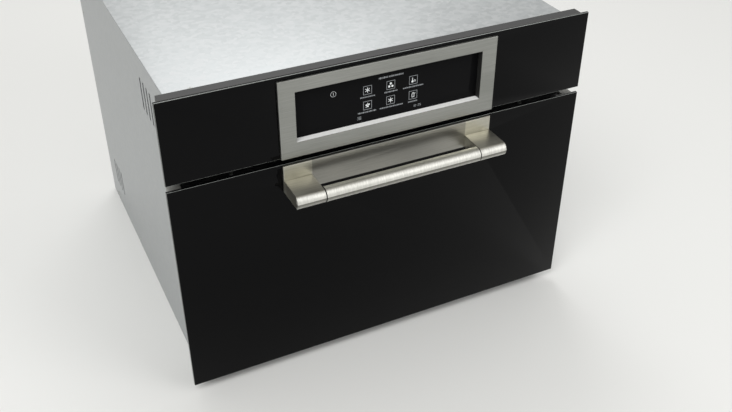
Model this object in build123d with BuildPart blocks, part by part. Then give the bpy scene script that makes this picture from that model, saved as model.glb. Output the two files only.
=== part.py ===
from build123d import *
import os
from math import asin, cos, pi, radians, sin, sqrt

os.makedirs("parts", exist_ok=True)

# Built-in combination microwave oven of the 45 cm class, in millimetres.
# X runs to the right, Y to the rear and Z up; the door faces -Y.
# The origin is the middle of the whole box at its base, handle included.

# Overall sizes
front_width = 595.0
overall_height = 455.0
body_width = 558.0
body_height = 446.0
body_depth = 545.0
front_overlay = 22.0
handle_reach = 49.0
casing_sheet = 1.0
liner_sheet = 1.2

# Front: door, fascia and display frame
glass_thickness = 4.0
door_bottom = 15.0
door_height = 320.0
door_gap = 8.5
door_depth = 36.0
choke_gap = 1.5
frame_sheet = 1.5
frame_lap = 11.0
frame_depth = 20.0
window_inset = 20.0
window_sill = 70.0
window_head = 50.0
bezel_width = 304.0
bezel_margin = 5.0
bezel_proud = 4.0
bezel_side = 21.5
bezel_foot = 21.0
bezel_head = 17.0
bezel_wall = 2.0
display_recess = 10.0
display_thickness = 2.0
seat_gap = 0.3

# Handle
handle_width = 301.0
plate_height = 41.5
plate_proud = 4.0
plate_top_step = 1.0
arm_width = 38.5
arm_thickness = 18.5
arm_drop = 22.0
nose_depth = 7.0
bar_depth = 15.5
bar_gap = 0.6
screw_radius = 2.5

# Cavity
cavity_width = 440.0
cavity_depth = 380.0
cavity_floor = 66.0
cavity_corner = 12.0
flange_half = 276.0
flange_bottom = 16.0
tongue_drop = 18.0
roof_space = 28.0
deck_drop = 5.0
chamber_margin = 23.0
chamber_depth = 34.0
insulation_thickness = 20.0

# Door hinge
pivot_behind = 17.0
pivot_above = 3.5
pivot_radius = 4.0
running_gap = 0.05
crank_radius = 16.0
crank_pin_radius = 2.5
channel_width = 12.0
channel_sheet = 1.5
channel_length = 150.0
sill_height = 56.0

# Turntable
tray_radius = 180.0
tray_thickness = 5.0
roller_radius = 8.0
roller_circle = 110.0
roller_width = 7.0
rack_height = 85.0
rack_radius = 140.0

# Planes and levels worked out from the sizes above
front = handle_reach - (handle_reach + front_overlay + body_depth) / 2
glass_back = front + glass_thickness
cabinet_plane = front + front_overlay
rear = cabinet_plane + body_depth
half_body = body_width / 2
half_inner = half_body - casing_sheet
frame_half = half_body + frame_lap
door_top = door_bottom + door_height
fascia_bottom = door_top + door_gap
cavity_face = front + door_depth + choke_gap
flange_back = cavity_face + liner_sheet
cavity_back = cavity_face + cavity_depth
lid_underside = body_height - casing_sheet
deck_height = door_top - deck_drop
deck_top = deck_height + casing_sheet
cavity_top = deck_height - roof_space
cavity_height = cavity_top - cavity_floor
chamber_size = cavity_height - 2 * chamber_margin
half_cavity = cavity_width / 2
cavity_middle_y = (flange_back + cavity_back) / 2
cavity_middle_z = (cavity_floor + cavity_top) / 2


def front_plane(y):
    """Upright plane across the oven at y; a negative extrusion runs to the rear."""
    return Plane(origin=(0, y, 0), x_dir=(1, 0, 0), z_dir=(0, -1, 0))


def side_plane(x):
    """Upright plane along the oven at x, drawn with Y to the right; extrusions run to +X."""
    return Plane(origin=(x, 0, 0), x_dir=(0, 1, 0), z_dir=(1, 0, 0))


def block(x, y, z, mode=Mode.ADD):
    """A straight block between two limits along each axis, in either order."""
    x, y, z = sorted(x), sorted(y), sorted(z)
    with Locations(((x[0] + x[1]) / 2, (y[0] + y[1]) / 2, (z[0] + z[1]) / 2)):
        Box(x[1] - x[0], y[1] - y[0], z[1] - z[0], mode=mode)


def twelve_sided(radius, mode=Mode.ADD):
    """A small round form that nothing turns on, drawn with twelve sides."""
    RegularPolygon(radius, 12, mode=mode)


def bent_tube(points, radius):
    """A tube along straight lengths with mitred corners, six-sided in section."""
    with BuildLine() as route:
        Polyline(*points)
    with BuildSketch(Plane(origin=route.line @ 0, z_dir=route.line % 0)) as section:
        RegularPolygon(radius, 6)
    sweep(sections=section.sketch, path=route.line, transition=Transition.RIGHT)


def save(part, node):
    """Label one finished piece and write it as its own file."""
    part.label = node
    export_step(part, f"parts/{node}.step")


# Casing

trim_front = cabinet_plane + 1.0
trim_height = 14.0
trim_half = 258.0
lip_height = 30.0
rib_height = 3.0
rib_width = 8.0
rib_spacing = 110.0
floor_slot = (40.0, 5.0)
vent_pitch = 16.0
trim_slot = (50.0, 4.0)
trim_slot_pitch = 62.0
motor_hatch = (90.0, 70.0)

# Bottom pan: flat floor, upturned sills at the sides, lips at front and rear, pressed ribs
with BuildPart() as base_tray:
    block((-half_inner, half_inner), (trim_front + 1.5, rear - casing_sheet), (0, casing_sheet))
    for side in (-1, 1):
        block(
            (side * (half_inner - casing_sheet), side * half_inner),
            (trim_front + 1.5, rear - casing_sheet),
            (0, sill_height),
        )
    block((-trim_half, trim_half), (flange_back, flange_back + casing_sheet), (0, lip_height))
    block(
        (-half_inner, half_inner),
        (rear - 2 * casing_sheet, rear - casing_sheet),
        (0, lip_height),
    )
    for rib_x in (-2 * rib_spacing, -rib_spacing, rib_spacing, 2 * rib_spacing):
        with BuildSketch(front_plane(flange_back + 30)):
            with Locations((rib_x, casing_sheet)):
                Trapezoid(rib_width, rib_height, 60, align=(Align.CENTER, Align.MIN))
        extrude(amount=-(body_depth - 120))
    block(
        (-motor_hatch[0] / 2, motor_hatch[0] / 2),
        (cavity_middle_y - motor_hatch[1] / 2, cavity_middle_y + motor_hatch[1] / 2),
        (0, casing_sheet),
        mode=Mode.SUBTRACT,
    )
    with BuildSketch(Plane.XY):
        for row_x in (-1.5 * rib_spacing, 1.5 * rib_spacing):
            with Locations((row_x, rear - 100)):
                with GridLocations(floor_slot[0], vent_pitch, 1, 3):
                    Rectangle(*floor_slot)
    extrude(amount=casing_sheet, mode=Mode.SUBTRACT)
save(base_tray.part, "base_tray")

# Slotted strip in the shadow under the door
with BuildPart() as lower_trim:
    block((-trim_half, trim_half), (trim_front, trim_front + 1.5), (0, trim_height))
    block((-trim_half, trim_half), (trim_front, trim_front + 10), (casing_sheet, casing_sheet + 1.5))
    block(
        (-trim_half, trim_half),
        (trim_front + 1.5, trim_front + 10),
        (0, casing_sheet),
        mode=Mode.SUBTRACT,
    )
    with BuildSketch(front_plane(trim_front)):
        with Locations((0, trim_height / 2 + 1.5)):
            with GridLocations(trim_slot_pitch, 1, 8, 1):
                Rectangle(*trim_slot)
    extrude(amount=-1.5, mode=Mode.SUBTRACT)
save(lower_trim.part, "lower_trim")

# Sheet bent over the top and both sides, with vents beside the fan and above the magnetron
side_vent = (6.0, 46.0)
lid_vent = (60.0, 6.0)
vent_drop = 55.0
with BuildPart() as outer_casing:
    block((-half_body, half_body), (cabinet_plane, rear), (lid_underside, body_height))
    for side in (-1, 1):
        block((side * half_inner, side * half_body), (cabinet_plane, rear), (0, lid_underside))
    with BuildSketch(side_plane(-half_body)):
        with Locations((rear - 80, 70), (cabinet_plane + 110, lid_underside - vent_drop)):
            with GridLocations(vent_pitch, 1, 4, 1):
                Rectangle(*side_vent)
    extrude(amount=body_width, mode=Mode.SUBTRACT)
    with BuildSketch(Plane.XY.offset(lid_underside)):
        with Locations((170, cavity_middle_y), (-160, rear - 90)):
            with GridLocations(1, vent_pitch, 1, 6):
                Rectangle(*lid_vent)
    extrude(amount=casing_sheet, mode=Mode.SUBTRACT)
save(outer_casing.part, "outer_casing")

# Rear panel with pressed vents and the opening of the terminal box
terminal_x = 205.0
terminal_z = (deck_top + lid_underside) / 2 + 2.0
terminal_window = (84.0, 54.0)
rear_vent = (64.0, 6.0)
with BuildPart() as rear_panel:
    block((-half_inner, half_inner), (rear - casing_sheet, rear), (0, lid_underside))
    with BuildSketch(front_plane(rear - casing_sheet)):
        with Locations((0, cavity_middle_z)):
            with GridLocations(80, vent_pitch, 2, 5):
                Rectangle(*rear_vent)
        with Locations((-150, lid_underside - vent_drop)):
            with GridLocations(80, vent_pitch, 2, 2):
                Rectangle(*rear_vent)
        with Locations((terminal_x, terminal_z)):
            Rectangle(*terminal_window)
    extrude(amount=-casing_sheet, mode=Mode.SUBTRACT)
save(rear_panel.part, "rear_panel")

# Two angle strips that the cabinet screws pass through
strip_reach = 12.5
strip_lap = 30.0
strip_bottom = 60.0
strip_top = 330.0
fixing_radius = 2.6
fixing_spacing_x = 571.0
fixing_spacing_z = 200.0
fixing_middle_z = (strip_bottom + strip_top) / 2
with BuildPart() as fixing_strips:
    for side in (-1, 1):
        block(
            (side * half_body, side * (half_body + strip_reach)),
            (cabinet_plane - liner_sheet, cabinet_plane),
            (strip_bottom, strip_top),
        )
        block(
            (side * half_body, side * (half_body + liner_sheet)),
            (cabinet_plane, cabinet_plane + strip_lap),
            (strip_bottom, strip_top),
        )
    with BuildSketch(front_plane(cabinet_plane - liner_sheet)):
        with Locations((0, fixing_middle_z)):
            with GridLocations(fixing_spacing_x, fixing_spacing_z, 2, 2):
                Circle(fixing_radius)
    extrude(amount=-liner_sheet, mode=Mode.SUBTRACT)
save(fixing_strips.part, "fixing_strips")

# Cavity and what is built into its walls

chamber_z = cavity_middle_z
chamber_back = cavity_back + chamber_depth
fan_shaft_radius = 4.0
shaft_hole = 6.0
pivot_y = front + pivot_behind
pivot_z = door_bottom + pivot_above
channel_x = half_inner - casing_sheet - channel_width / 2
hinge_notch = channel_x - channel_width / 2 - 2.5
hinge_notch_top = 48.0
tongue_x = 270.0
tongue_z = deck_height - tongue_drop
tongue_slot = (10.0, 15.0)
guide_depth = 36.0
guide_width = 84.0
guide_bottom = cavity_top - 84.0
guide_top = deck_top + 99.0
guide_y = cavity_middle_y + 40.0
port_width = 72.0
port_height = 56.0
port_z = guide_bottom + 8 + port_height / 2
lamp_y = cavity_face + 90.0
lamp_z = cavity_top - 44.0
lamp_window = 30.0
base_half = half_cavity - cavity_corner
grill_z = cavity_top - 11.0
grill_spacing = 60.0
element_radius = 3.25
element_hole = 8.0
ring_radius = chamber_size / 2 - 13.0
ring_legs = 40.0

# Front plate of the cavity, notched for the hinges and slotted for the door's tongues
with BuildPart() as front_flange:
    block((-flange_half, flange_half), (cavity_face, flange_back), (flange_bottom, deck_height))
    with BuildSketch(front_plane(cavity_face)):
        with Locations((0, cavity_middle_z)):
            RectangleRounded(cavity_width, cavity_height, cavity_corner)
    extrude(amount=-liner_sheet, mode=Mode.SUBTRACT)
    for side in (-1, 1):
        block(
            (side * hinge_notch, side * (flange_half + 1)),
            (cavity_face, flange_back),
            (flange_bottom, hinge_notch_top),
            mode=Mode.SUBTRACT,
        )
        block(
            (side * (tongue_x - tongue_slot[0] / 2), side * (tongue_x + tongue_slot[0] / 2)),
            (cavity_face, flange_back),
            (tongue_z - tongue_slot[1] / 2, tongue_z + tongue_slot[1] / 2),
            mode=Mode.SUBTRACT,
        )
save(front_flange.part, "front_flange")

# Enamelled wrapper: roof and side walls with rounded corners, open below for the base
with BuildPart() as cavity_liner:
    with BuildSketch(front_plane(flange_back)):
        with Locations((0, cavity_middle_z)):
            RectangleRounded(
                cavity_width + 2 * liner_sheet,
                cavity_height + 2 * liner_sheet,
                cavity_corner + liner_sheet,
            )
            RectangleRounded(cavity_width, cavity_height, cavity_corner, mode=Mode.SUBTRACT)
        with Locations((0, cavity_floor - liner_sheet / 2)):
            Rectangle(2 * base_half, liner_sheet, mode=Mode.SUBTRACT)
    extrude(amount=-(cavity_back - flange_back))
    block(
        (half_cavity, half_cavity + liner_sheet),
        (guide_y - port_width / 2, guide_y + port_width / 2),
        (port_z - port_height / 2, port_z + port_height / 2),
        mode=Mode.SUBTRACT,
    )
    block(
        (-half_cavity - liner_sheet, -half_cavity),
        (lamp_y - lamp_window / 2, lamp_y + lamp_window / 2),
        (lamp_z - lamp_window / 2, lamp_z + lamp_window / 2),
        mode=Mode.SUBTRACT,
    )
save(cavity_liner.part, "cavity_liner")

# Base welded in between the lower corners, with the hole of the turntable's shaft
with BuildPart() as cavity_base:
    block(
        (-base_half, base_half),
        (flange_back, cavity_back),
        (cavity_floor - liner_sheet, cavity_floor),
    )
    with BuildSketch(Plane.XY.offset(cavity_floor - liner_sheet)):
        with Locations((0, cavity_middle_y)):
            twelve_sided(shaft_hole)
    extrude(amount=liner_sheet, mode=Mode.SUBTRACT)
save(cavity_base.part, "cavity_base")

# Rear wall with the fan chamber drawn out of it
with BuildPart() as cavity_rear:
    with BuildSketch(front_plane(cavity_back)):
        with Locations((0, cavity_middle_z)):
            Rectangle(cavity_width + 2 * liner_sheet, cavity_height + 2 * liner_sheet)
    extrude(amount=-liner_sheet)
    with BuildSketch(front_plane(cavity_back)):
        with Locations((0, chamber_z)):
            Rectangle(chamber_size + 2 * liner_sheet, chamber_size + 2 * liner_sheet)
    extrude(amount=-(chamber_depth + liner_sheet))
    with BuildSketch(front_plane(cavity_back)):
        with Locations((0, chamber_z)):
            Rectangle(chamber_size, chamber_size)
    extrude(amount=-chamber_depth, mode=Mode.SUBTRACT)
    with BuildSketch(front_plane(chamber_back)):
        with Locations((0, chamber_z)):
            twelve_sided(shaft_hole)
        with Locations((0, chamber_z - ring_radius)):
            with GridLocations(ring_legs, 1, 2, 1):
                Rectangle(element_hole, element_hole)
    extrude(amount=-liner_sheet, mode=Mode.SUBTRACT)
    with BuildSketch(front_plane(cavity_back)):
        with Locations((0, grill_z)):
            with GridLocations(3 * grill_spacing, 1, 2, 1):
                Rectangle(element_hole, element_hole)
    extrude(amount=-liner_sheet, mode=Mode.SUBTRACT)
save(cavity_rear.part, "cavity_rear")

# Perforated cover of the fan chamber: intake slots in the middle, outlets near its edges
baffle_size = chamber_size + 12.0
baffle_edge = chamber_size / 2 - 7.0
baffle_slot = (58.0, 7.0)
baffle_slot_pitch = 75.0
with BuildPart() as fan_baffle:
    with BuildSketch(front_plane(cavity_back)):
        with Locations((0, chamber_z)):
            Rectangle(baffle_size, baffle_size)
    extrude(amount=liner_sheet)
    with BuildSketch(front_plane(cavity_back)):
        with Locations((0, chamber_z)):
            for ring, count in ((24.0, 4), (46.0, 8)):
                with PolarLocations(ring, count):
                    Rectangle(16, 9)
            with GridLocations(2 * baffle_edge, baffle_slot_pitch, 2, 2):
                Rectangle(baffle_slot[1], baffle_slot[0])
            with GridLocations(baffle_slot_pitch, 2 * baffle_edge, 2, 2):
                Rectangle(*baffle_slot)
    extrude(amount=liner_sheet, mode=Mode.SUBTRACT)
save(fan_baffle.part, "fan_baffle")

# Convection heater: an open ring round the fan, with two legs out through the chamber
ring_y = cavity_back + chamber_depth * 0.45
ring_half = ring_legs / 2
ring_steps = 12
ring_open = asin(ring_half / ring_radius)
with BuildPart() as ring_heater:
    ring_points = []
    for step in range(ring_steps + 1):
        angle = -pi / 2 + ring_open + step * (2 * pi - 2 * ring_open) / ring_steps
        ring_points.append((ring_radius * cos(angle), ring_y, chamber_z + ring_radius * sin(angle)))
    bent_tube(ring_points, element_radius)
    for side in (-1, 1):
        block(
            (side * ring_half - element_radius, side * ring_half + element_radius),
            (ring_y - element_radius, chamber_back + 14),
            (chamber_z - ring_radius - element_radius, chamber_z - ring_radius + element_radius),
        )
save(ring_heater.part, "ring_heater")

# Bladed wheel on its shaft; the blades are folded up from a disc
fan_radius = ring_radius - 16.0
fan_blades = 8
blade_height = 16.0
fan_disc_y = chamber_back - 9.0
with BuildPart() as convection_fan:
    with BuildSketch(front_plane(fan_disc_y)):
        with Locations((0, chamber_z)):
            RegularPolygon(fan_radius, 2 * fan_blades)
    extrude(amount=1)
    with BuildSketch(front_plane(fan_disc_y - 1)):
        with Locations((0, chamber_z)):
            with PolarLocations(fan_radius - 16, fan_blades):
                Rectangle(26, 1.2, rotation=24)
    extrude(amount=blade_height)
    with BuildSketch(front_plane(fan_disc_y)):
        with Locations((0, chamber_z)):
            RegularPolygon(10, 6)
    extrude(amount=10)
    with BuildSketch(front_plane(fan_disc_y)):
        with Locations((0, chamber_z)):
            Circle(fan_shaft_radius)
    extrude(amount=-60)
save(convection_fan.part, "convection_fan")

# Shaded-pole motor: laminated stack, coil, two bearing bridges and the mounting plate
motor_front = chamber_back + liner_sheet + insulation_thickness + 4
stack_size = 58.0
with BuildPart() as convection_motor:
    block(
        (-stack_size / 2, stack_size / 2),
        (motor_front + 10, motor_front + 32),
        (chamber_z - stack_size / 2, chamber_z + stack_size / 2),
    )
    block((-14, 14), (motor_front + 2, motor_front + 40), (chamber_z - stack_size / 2 - 12, chamber_z - 16))
    block((-30, 30), (motor_front, motor_front + 2), (chamber_z - 9, chamber_z + 9))
    block((-14, 14), (motor_front, motor_front + 42), (chamber_z - 12, chamber_z + 12))
    for side in (-1, 1):
        block(
            (side * 26, side * 30),
            (chamber_back + liner_sheet, motor_front + 12),
            (chamber_z - 9, chamber_z + 9),
        )
        block(
            (side * 30, side * 44),
            (chamber_back + liner_sheet, chamber_back + liner_sheet + 2),
            (chamber_z - 9, chamber_z + 9),
        )
    with BuildSketch(front_plane(motor_front)):
        with Locations((0, chamber_z)):
            Circle(fan_shaft_radius + running_gap)
    extrude(amount=-40, mode=Mode.SUBTRACT)
save(convection_motor.part, "convection_motor")

# Grill element: four runs under the ceiling with round bends, hung on clips
grill_front = flange_back + 60.0
grill_turn = grill_spacing / 2
grill_rear = cavity_back - 60.0
grill_end = cavity_back + 20.0
clip_y = grill_front + 70.0
bend_steps = 5
grill_bends = (
    (-grill_spacing, grill_front + grill_turn, 1),
    (0, grill_rear - grill_turn, -1),
    (grill_spacing, grill_front + grill_turn, 1),
)
with BuildPart() as grill_element:
    grill_points = [(-1.5 * grill_spacing, grill_end, grill_z)]
    for bend_x, bend_y, way in grill_bends:
        for step in range(bend_steps + 1):
            angle = pi + way * pi * step / bend_steps
            bend_point = (bend_x + grill_turn * cos(angle), bend_y + grill_turn * sin(angle), grill_z)
            grill_points.append(bend_point)
    grill_points.append((1.5 * grill_spacing, grill_end, grill_z))
    bent_tube(grill_points, element_radius)
    for clip_row in (clip_y, grill_rear - 70):
        block(
            (-1.5 * grill_spacing - 6, 1.5 * grill_spacing + 6),
            (clip_row - 4, clip_row + 4),
            (grill_z + element_radius - 1, grill_z + element_radius + 0.5),
        )
        block(
            (-8, 8),
            (clip_row - 4, clip_row + 4),
            (grill_z + element_radius, cavity_top),
        )
save(grill_element.part, "grill_element")

# Rectangular duct that leads the waves from the top compartment to the port in the right wall
guide_sheet = 1.5
guide_left = half_cavity + liner_sheet
antenna_z = guide_top - 42.0
antenna_radius = 9.0
with BuildPart() as waveguide:
    block(
        (guide_left, guide_left + guide_depth),
        (guide_y - guide_width / 2, guide_y + guide_width / 2),
        (guide_bottom, guide_top),
    )
    block(
        (guide_left + guide_sheet, guide_left + guide_depth - guide_sheet),
        (guide_y - guide_width / 2 + guide_sheet, guide_y + guide_width / 2 - guide_sheet),
        (guide_bottom + guide_sheet, guide_top - guide_sheet),
        mode=Mode.SUBTRACT,
    )
    block(
        (guide_left, guide_left + guide_sheet),
        (guide_y - port_width / 2, guide_y + port_width / 2),
        (port_z - port_height / 2, port_z + port_height / 2),
        mode=Mode.SUBTRACT,
    )
    with BuildSketch(side_plane(guide_left)):
        with Locations((guide_y, antenna_z)):
            twelve_sided(antenna_radius)
    extrude(amount=guide_sheet, mode=Mode.SUBTRACT)
save(waveguide.part, "waveguide")

# Mica sheet over the port, inside the cavity
with BuildPart() as waveguide_cover:
    with BuildSketch(side_plane(half_cavity)):
        with Locations((guide_y, port_z)):
            Rectangle(port_width + 14, port_height + 12)
    extrude(amount=-0.8)
save(waveguide_cover.part, "waveguide_cover")

# Magnetron: steel yoke round the cooling fins, ring magnets, antenna and filter box
magnetron_length = 62.0
magnetron_width = 88.0
magnetron_height = 76.0
magnetron_right = guide_left
magnetron_left = magnetron_right - magnetron_length
fin_count = 4
yoke_sheet = 1.6
with BuildPart() as magnetron:
    block(
        (magnetron_left, magnetron_right),
        (guide_y - magnetron_width / 2, guide_y + magnetron_width / 2),
        (antenna_z - magnetron_height / 2, antenna_z + magnetron_height / 2),
    )
    block(
        (magnetron_left + yoke_sheet, magnetron_right - yoke_sheet),
        (guide_y - magnetron_width / 2 + yoke_sheet, guide_y + magnetron_width / 2 - yoke_sheet),
        (antenna_z - magnetron_height / 2, antenna_z + magnetron_height / 2),
        mode=Mode.SUBTRACT,
    )
    for row in range(fin_count):
        fin_x = magnetron_left + 16 + row * (magnetron_length - 32) / (fin_count - 1)
        block(
            (fin_x - 0.4, fin_x + 0.4),
            (guide_y - magnetron_width / 2 + yoke_sheet, guide_y + magnetron_width / 2 - yoke_sheet),
            (antenna_z - 30, antenna_z + 30),
        )
    with BuildSketch(side_plane(magnetron_left + yoke_sheet)):
        with Locations((guide_y, antenna_z)):
            RegularPolygon(26, 8)
    extrude(amount=12)
    with BuildSketch(side_plane(magnetron_right - yoke_sheet)):
        with Locations((guide_y, antenna_z)):
            RegularPolygon(26, 8)
    extrude(amount=-12)
    with BuildSketch(side_plane(magnetron_left)):
        with Locations((guide_y, antenna_z)):
            RegularPolygon(18, 8)
    extrude(amount=magnetron_length)
    with BuildSketch(side_plane(magnetron_right)):
        with Locations((guide_y, antenna_z)):
            RegularPolygon(antenna_radius - 1.5, 10)
    extrude(amount=24)
    block(
        (magnetron_left - 30, magnetron_left),
        (guide_y - 28, guide_y + 28),
        (antenna_z - 22, antenna_z + 22),
    )
save(magnetron.part, "magnetron")

# Lamp holder outside the left wall, with its lens inside
holder_radius = 23.0
holder_clear = 24.8
holder_depth = half_inner - half_cavity - liner_sheet - holder_clear
pocket_depth = holder_depth - 3.0
lamp_wall = -half_cavity - liner_sheet
with BuildPart() as oven_lamp:
    with BuildSketch(side_plane(lamp_wall)):
        with Locations((lamp_y, lamp_z)):
            RegularPolygon(holder_radius, 16)
    extrude(amount=-holder_depth)
    with BuildSketch(side_plane(lamp_wall)):
        with Locations((lamp_y, lamp_z)):
            RegularPolygon(holder_radius - 2, 16)
    extrude(amount=-pocket_depth, mode=Mode.SUBTRACT)
    with BuildSketch(side_plane(lamp_wall - pocket_depth)):
        with Locations((lamp_y, lamp_z)):
            RegularPolygon(7, 8)
    extrude(amount=pocket_depth * 0.83)
save(oven_lamp.part, "oven_lamp")

with BuildPart() as lamp_lens:
    with BuildSketch(side_plane(-half_cavity)):
        with Locations((lamp_y, lamp_z)):
            RegularPolygon(holder_radius + 2, 16)
    extrude(amount=3)
    chamfer(lamp_lens.faces().sort_by(Axis.X)[-1].edges(), 1.2)
save(lamp_lens.part, "lamp_lens")

# Mineral wool round the cavity, cut out for the duct, the lamp and the motor
wool_front = flange_back + 8.0
wool_clear = liner_sheet + seat_gap
wool_rear = cavity_back - 4.0
with BuildPart() as cavity_insulation:
    block(
        (-half_cavity, half_cavity),
        (wool_front, wool_rear),
        (cavity_top + wool_clear, cavity_top + wool_clear + insulation_thickness),
    )
    block(
        (-half_cavity - wool_clear, -half_cavity - wool_clear - insulation_thickness),
        (wool_front, wool_rear),
        (cavity_floor + cavity_corner, cavity_top - cavity_corner),
    )
    with BuildSketch(side_plane(-half_cavity - wool_clear - insulation_thickness)):
        with Locations((lamp_y, lamp_z)):
            Rectangle(2 * holder_radius + 6, 2 * holder_radius + 60)
    extrude(amount=insulation_thickness, mode=Mode.SUBTRACT)
    for wool_y in ((wool_front, guide_y - guide_width / 2 - 2), (guide_y + guide_width / 2 + 2, wool_rear)):
        block(
            (half_cavity + wool_clear, half_cavity + wool_clear + insulation_thickness),
            wool_y,
            (cavity_floor + cavity_corner, cavity_top - cavity_corner),
        )
    block(
        (-chamber_size / 2, chamber_size / 2),
        (chamber_back + wool_clear, chamber_back + wool_clear + insulation_thickness),
        (chamber_z - chamber_size / 2, chamber_z + chamber_size / 2),
    )
    block(
        (-46, 46),
        (chamber_back + wool_clear, chamber_back + wool_clear + insulation_thickness),
        (chamber_z - chamber_size / 2, chamber_z + 14),
        mode=Mode.SUBTRACT,
    )
save(cavity_insulation.part, "cavity_insulation")

# Upper compartment

deck_front = front + 24.0
deck_flange = 12.0
with BuildPart() as upper_deck:
    block((-half_inner, half_inner), (deck_front, rear - 2 * casing_sheet), (deck_height, deck_top))
    for side in (-1, 1):
        block(
            (side * (half_inner - casing_sheet), side * half_inner),
            (flange_back, rear - 2 * casing_sheet),
            (deck_height, deck_top + deck_flange),
        )
    block(
        (guide_left - 0.5, guide_left + guide_depth + 0.5),
        (guide_y - guide_width / 2 - 0.5, guide_y + guide_width / 2 + 0.5),
        (deck_height, deck_top),
        mode=Mode.SUBTRACT,
    )
    with BuildSketch(Plane.XY.offset(deck_height)):
        with Locations((0, rear - 70)):
            with GridLocations(120, vent_pitch, 2, 4):
                Rectangle(70, 6)
    extrude(amount=casing_sheet, mode=Mode.SUBTRACT)
save(upper_deck.part, "upper_deck")

# Flat funnel on the deck that blows the cooling air out above the door
duct_height = fascia_bottom + 1 - deck_top
duct_sheet = 1.2
duct_mouth = 230.0
duct_vanes = 11
mouth_front = deck_front + 0.5
mouth_rear = mouth_front + 26.0
outlet_y = mouth_front + 68.0
housing_left = -70.0
housing_right = 110.0
with BuildPart() as air_duct:
    for inset, mode in ((0, Mode.ADD), (duct_sheet, Mode.SUBTRACT)):
        with BuildSketch(Plane.XY.offset(deck_top)):
            with BuildLine():
                Polyline(
                    (-duct_mouth + inset, mouth_front),
                    (duct_mouth - inset, mouth_front),
                    (duct_mouth - inset, mouth_rear),
                    (housing_right - inset, outlet_y),
                    (housing_left + inset, outlet_y),
                    (-duct_mouth + inset, mouth_rear),
                    close=True,
                )
            make_face()
        extrude(amount=duct_height - inset, mode=mode)
    for vane in range(duct_vanes):
        vane_x = (vane - (duct_vanes - 1) / 2) * 2 * duct_mouth / (duct_vanes + 1)
        block(
            (vane_x - duct_sheet / 2, vane_x + duct_sheet / 2),
            (mouth_front, mouth_front + 14),
            (deck_top, deck_top + duct_height - duct_sheet),
        )
save(air_duct.part, "air_duct")

# Cross-flow blower: scroll housing, long rotor and motor at its right end
blower_y = outlet_y + 38.0
blower_z = deck_top + 49.0
rotor_radius = 24.0
rotor_shaft = 3.0
shaft_clear = 0.5
rotor_blades = 8
scroll_reach = 38.0
with BuildPart() as blower_housing:
    with BuildSketch(side_plane(housing_left)):
        with BuildLine():
            FilletPolyline(
                (outlet_y, deck_top + duct_sheet / 2),
                (blower_y + scroll_reach, deck_top + duct_sheet / 2),
                (blower_y + scroll_reach, blower_z + rotor_radius),
                radius=30,
            )
        trace(line_width=duct_sheet)
    extrude(amount=housing_right - housing_left)
    block(
        (housing_left, housing_right),
        (outlet_y, outlet_y + 9),
        (deck_top + duct_height - duct_sheet, deck_top + duct_height),
    )
    block(
        (housing_left, housing_right),
        (outlet_y + 9, outlet_y + 9 + duct_sheet),
        (deck_top + duct_height - duct_sheet, blower_z + rotor_radius),
    )
    for plate_x in (housing_left, housing_right - duct_sheet):
        with BuildSketch(side_plane(plate_x)):
            with BuildLine():
                Polyline(
                    (outlet_y, deck_top),
                    (blower_y + scroll_reach, deck_top),
                    (blower_y + scroll_reach, blower_z + rotor_radius + 6),
                    (outlet_y + 9, blower_z + rotor_radius + 6),
                    (outlet_y + 9, deck_top + duct_height),
                    (outlet_y, deck_top + duct_height),
                    close=True,
                )
            make_face()
            with Locations((blower_y, blower_z)):
                twelve_sided(rotor_shaft + shaft_clear, mode=Mode.SUBTRACT)
        extrude(amount=duct_sheet)
save(blower_housing.part, "blower_housing")

rotor_left = housing_left + duct_sheet + 2
rotor_right = housing_right - duct_sheet - 2
with BuildPart() as blower_rotor:
    with BuildSketch(side_plane(rotor_left)):
        with Locations((blower_y, blower_z)):
            with PolarLocations(rotor_radius - 4.5, rotor_blades):
                Rectangle(7, 0.9, rotation=32)
    extrude(amount=rotor_right - rotor_left)
    for disc_x in (rotor_left, (rotor_left + rotor_right) / 2, rotor_right - 1):
        with BuildSketch(side_plane(disc_x)):
            with Locations((blower_y, blower_z)):
                RegularPolygon(rotor_radius, 12)
        extrude(amount=1)
    for stub_x, stub_end in ((housing_left, rotor_left), (rotor_right, housing_right + 26)):
        with BuildSketch(side_plane(stub_x)):
            with Locations((blower_y, blower_z)):
                Circle(rotor_shaft)
        extrude(amount=stub_end - stub_x)
save(blower_rotor.part, "blower_rotor")

blower_stack = 44.0
with BuildPart() as blower_motor:
    block(
        (housing_right, housing_right + 2),
        (blower_y - 18, blower_y + 18),
        (blower_z - 10, blower_z + 10),
    )
    block(
        (housing_right + 8, housing_right + 26),
        (blower_y - blower_stack / 2, blower_y + blower_stack / 2),
        (blower_z - blower_stack / 2, blower_z + blower_stack / 2),
    )
    block(
        (housing_right + 4, housing_right + 30),
        (blower_y - 10, blower_y + 10),
        (blower_z - blower_stack / 2 - 8, blower_z - 8),
    )
    block(
        (housing_right + 2, housing_right + 32),
        (blower_y - 9, blower_y + 9),
        (blower_z - 8, blower_z + 8),
    )
    for side in (-1, 1):
        block(
            (housing_right + 2, housing_right + 8),
            (blower_y + side * 13, blower_y + side * 18),
            (blower_z - 5, blower_z + 5),
        )
    with BuildSketch(side_plane(housing_right)):
        with Locations((blower_y, blower_z)):
            Circle(rotor_shaft + running_gap)
    extrude(amount=30, mode=Mode.SUBTRACT)
save(blower_motor.part, "blower_motor")

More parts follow.
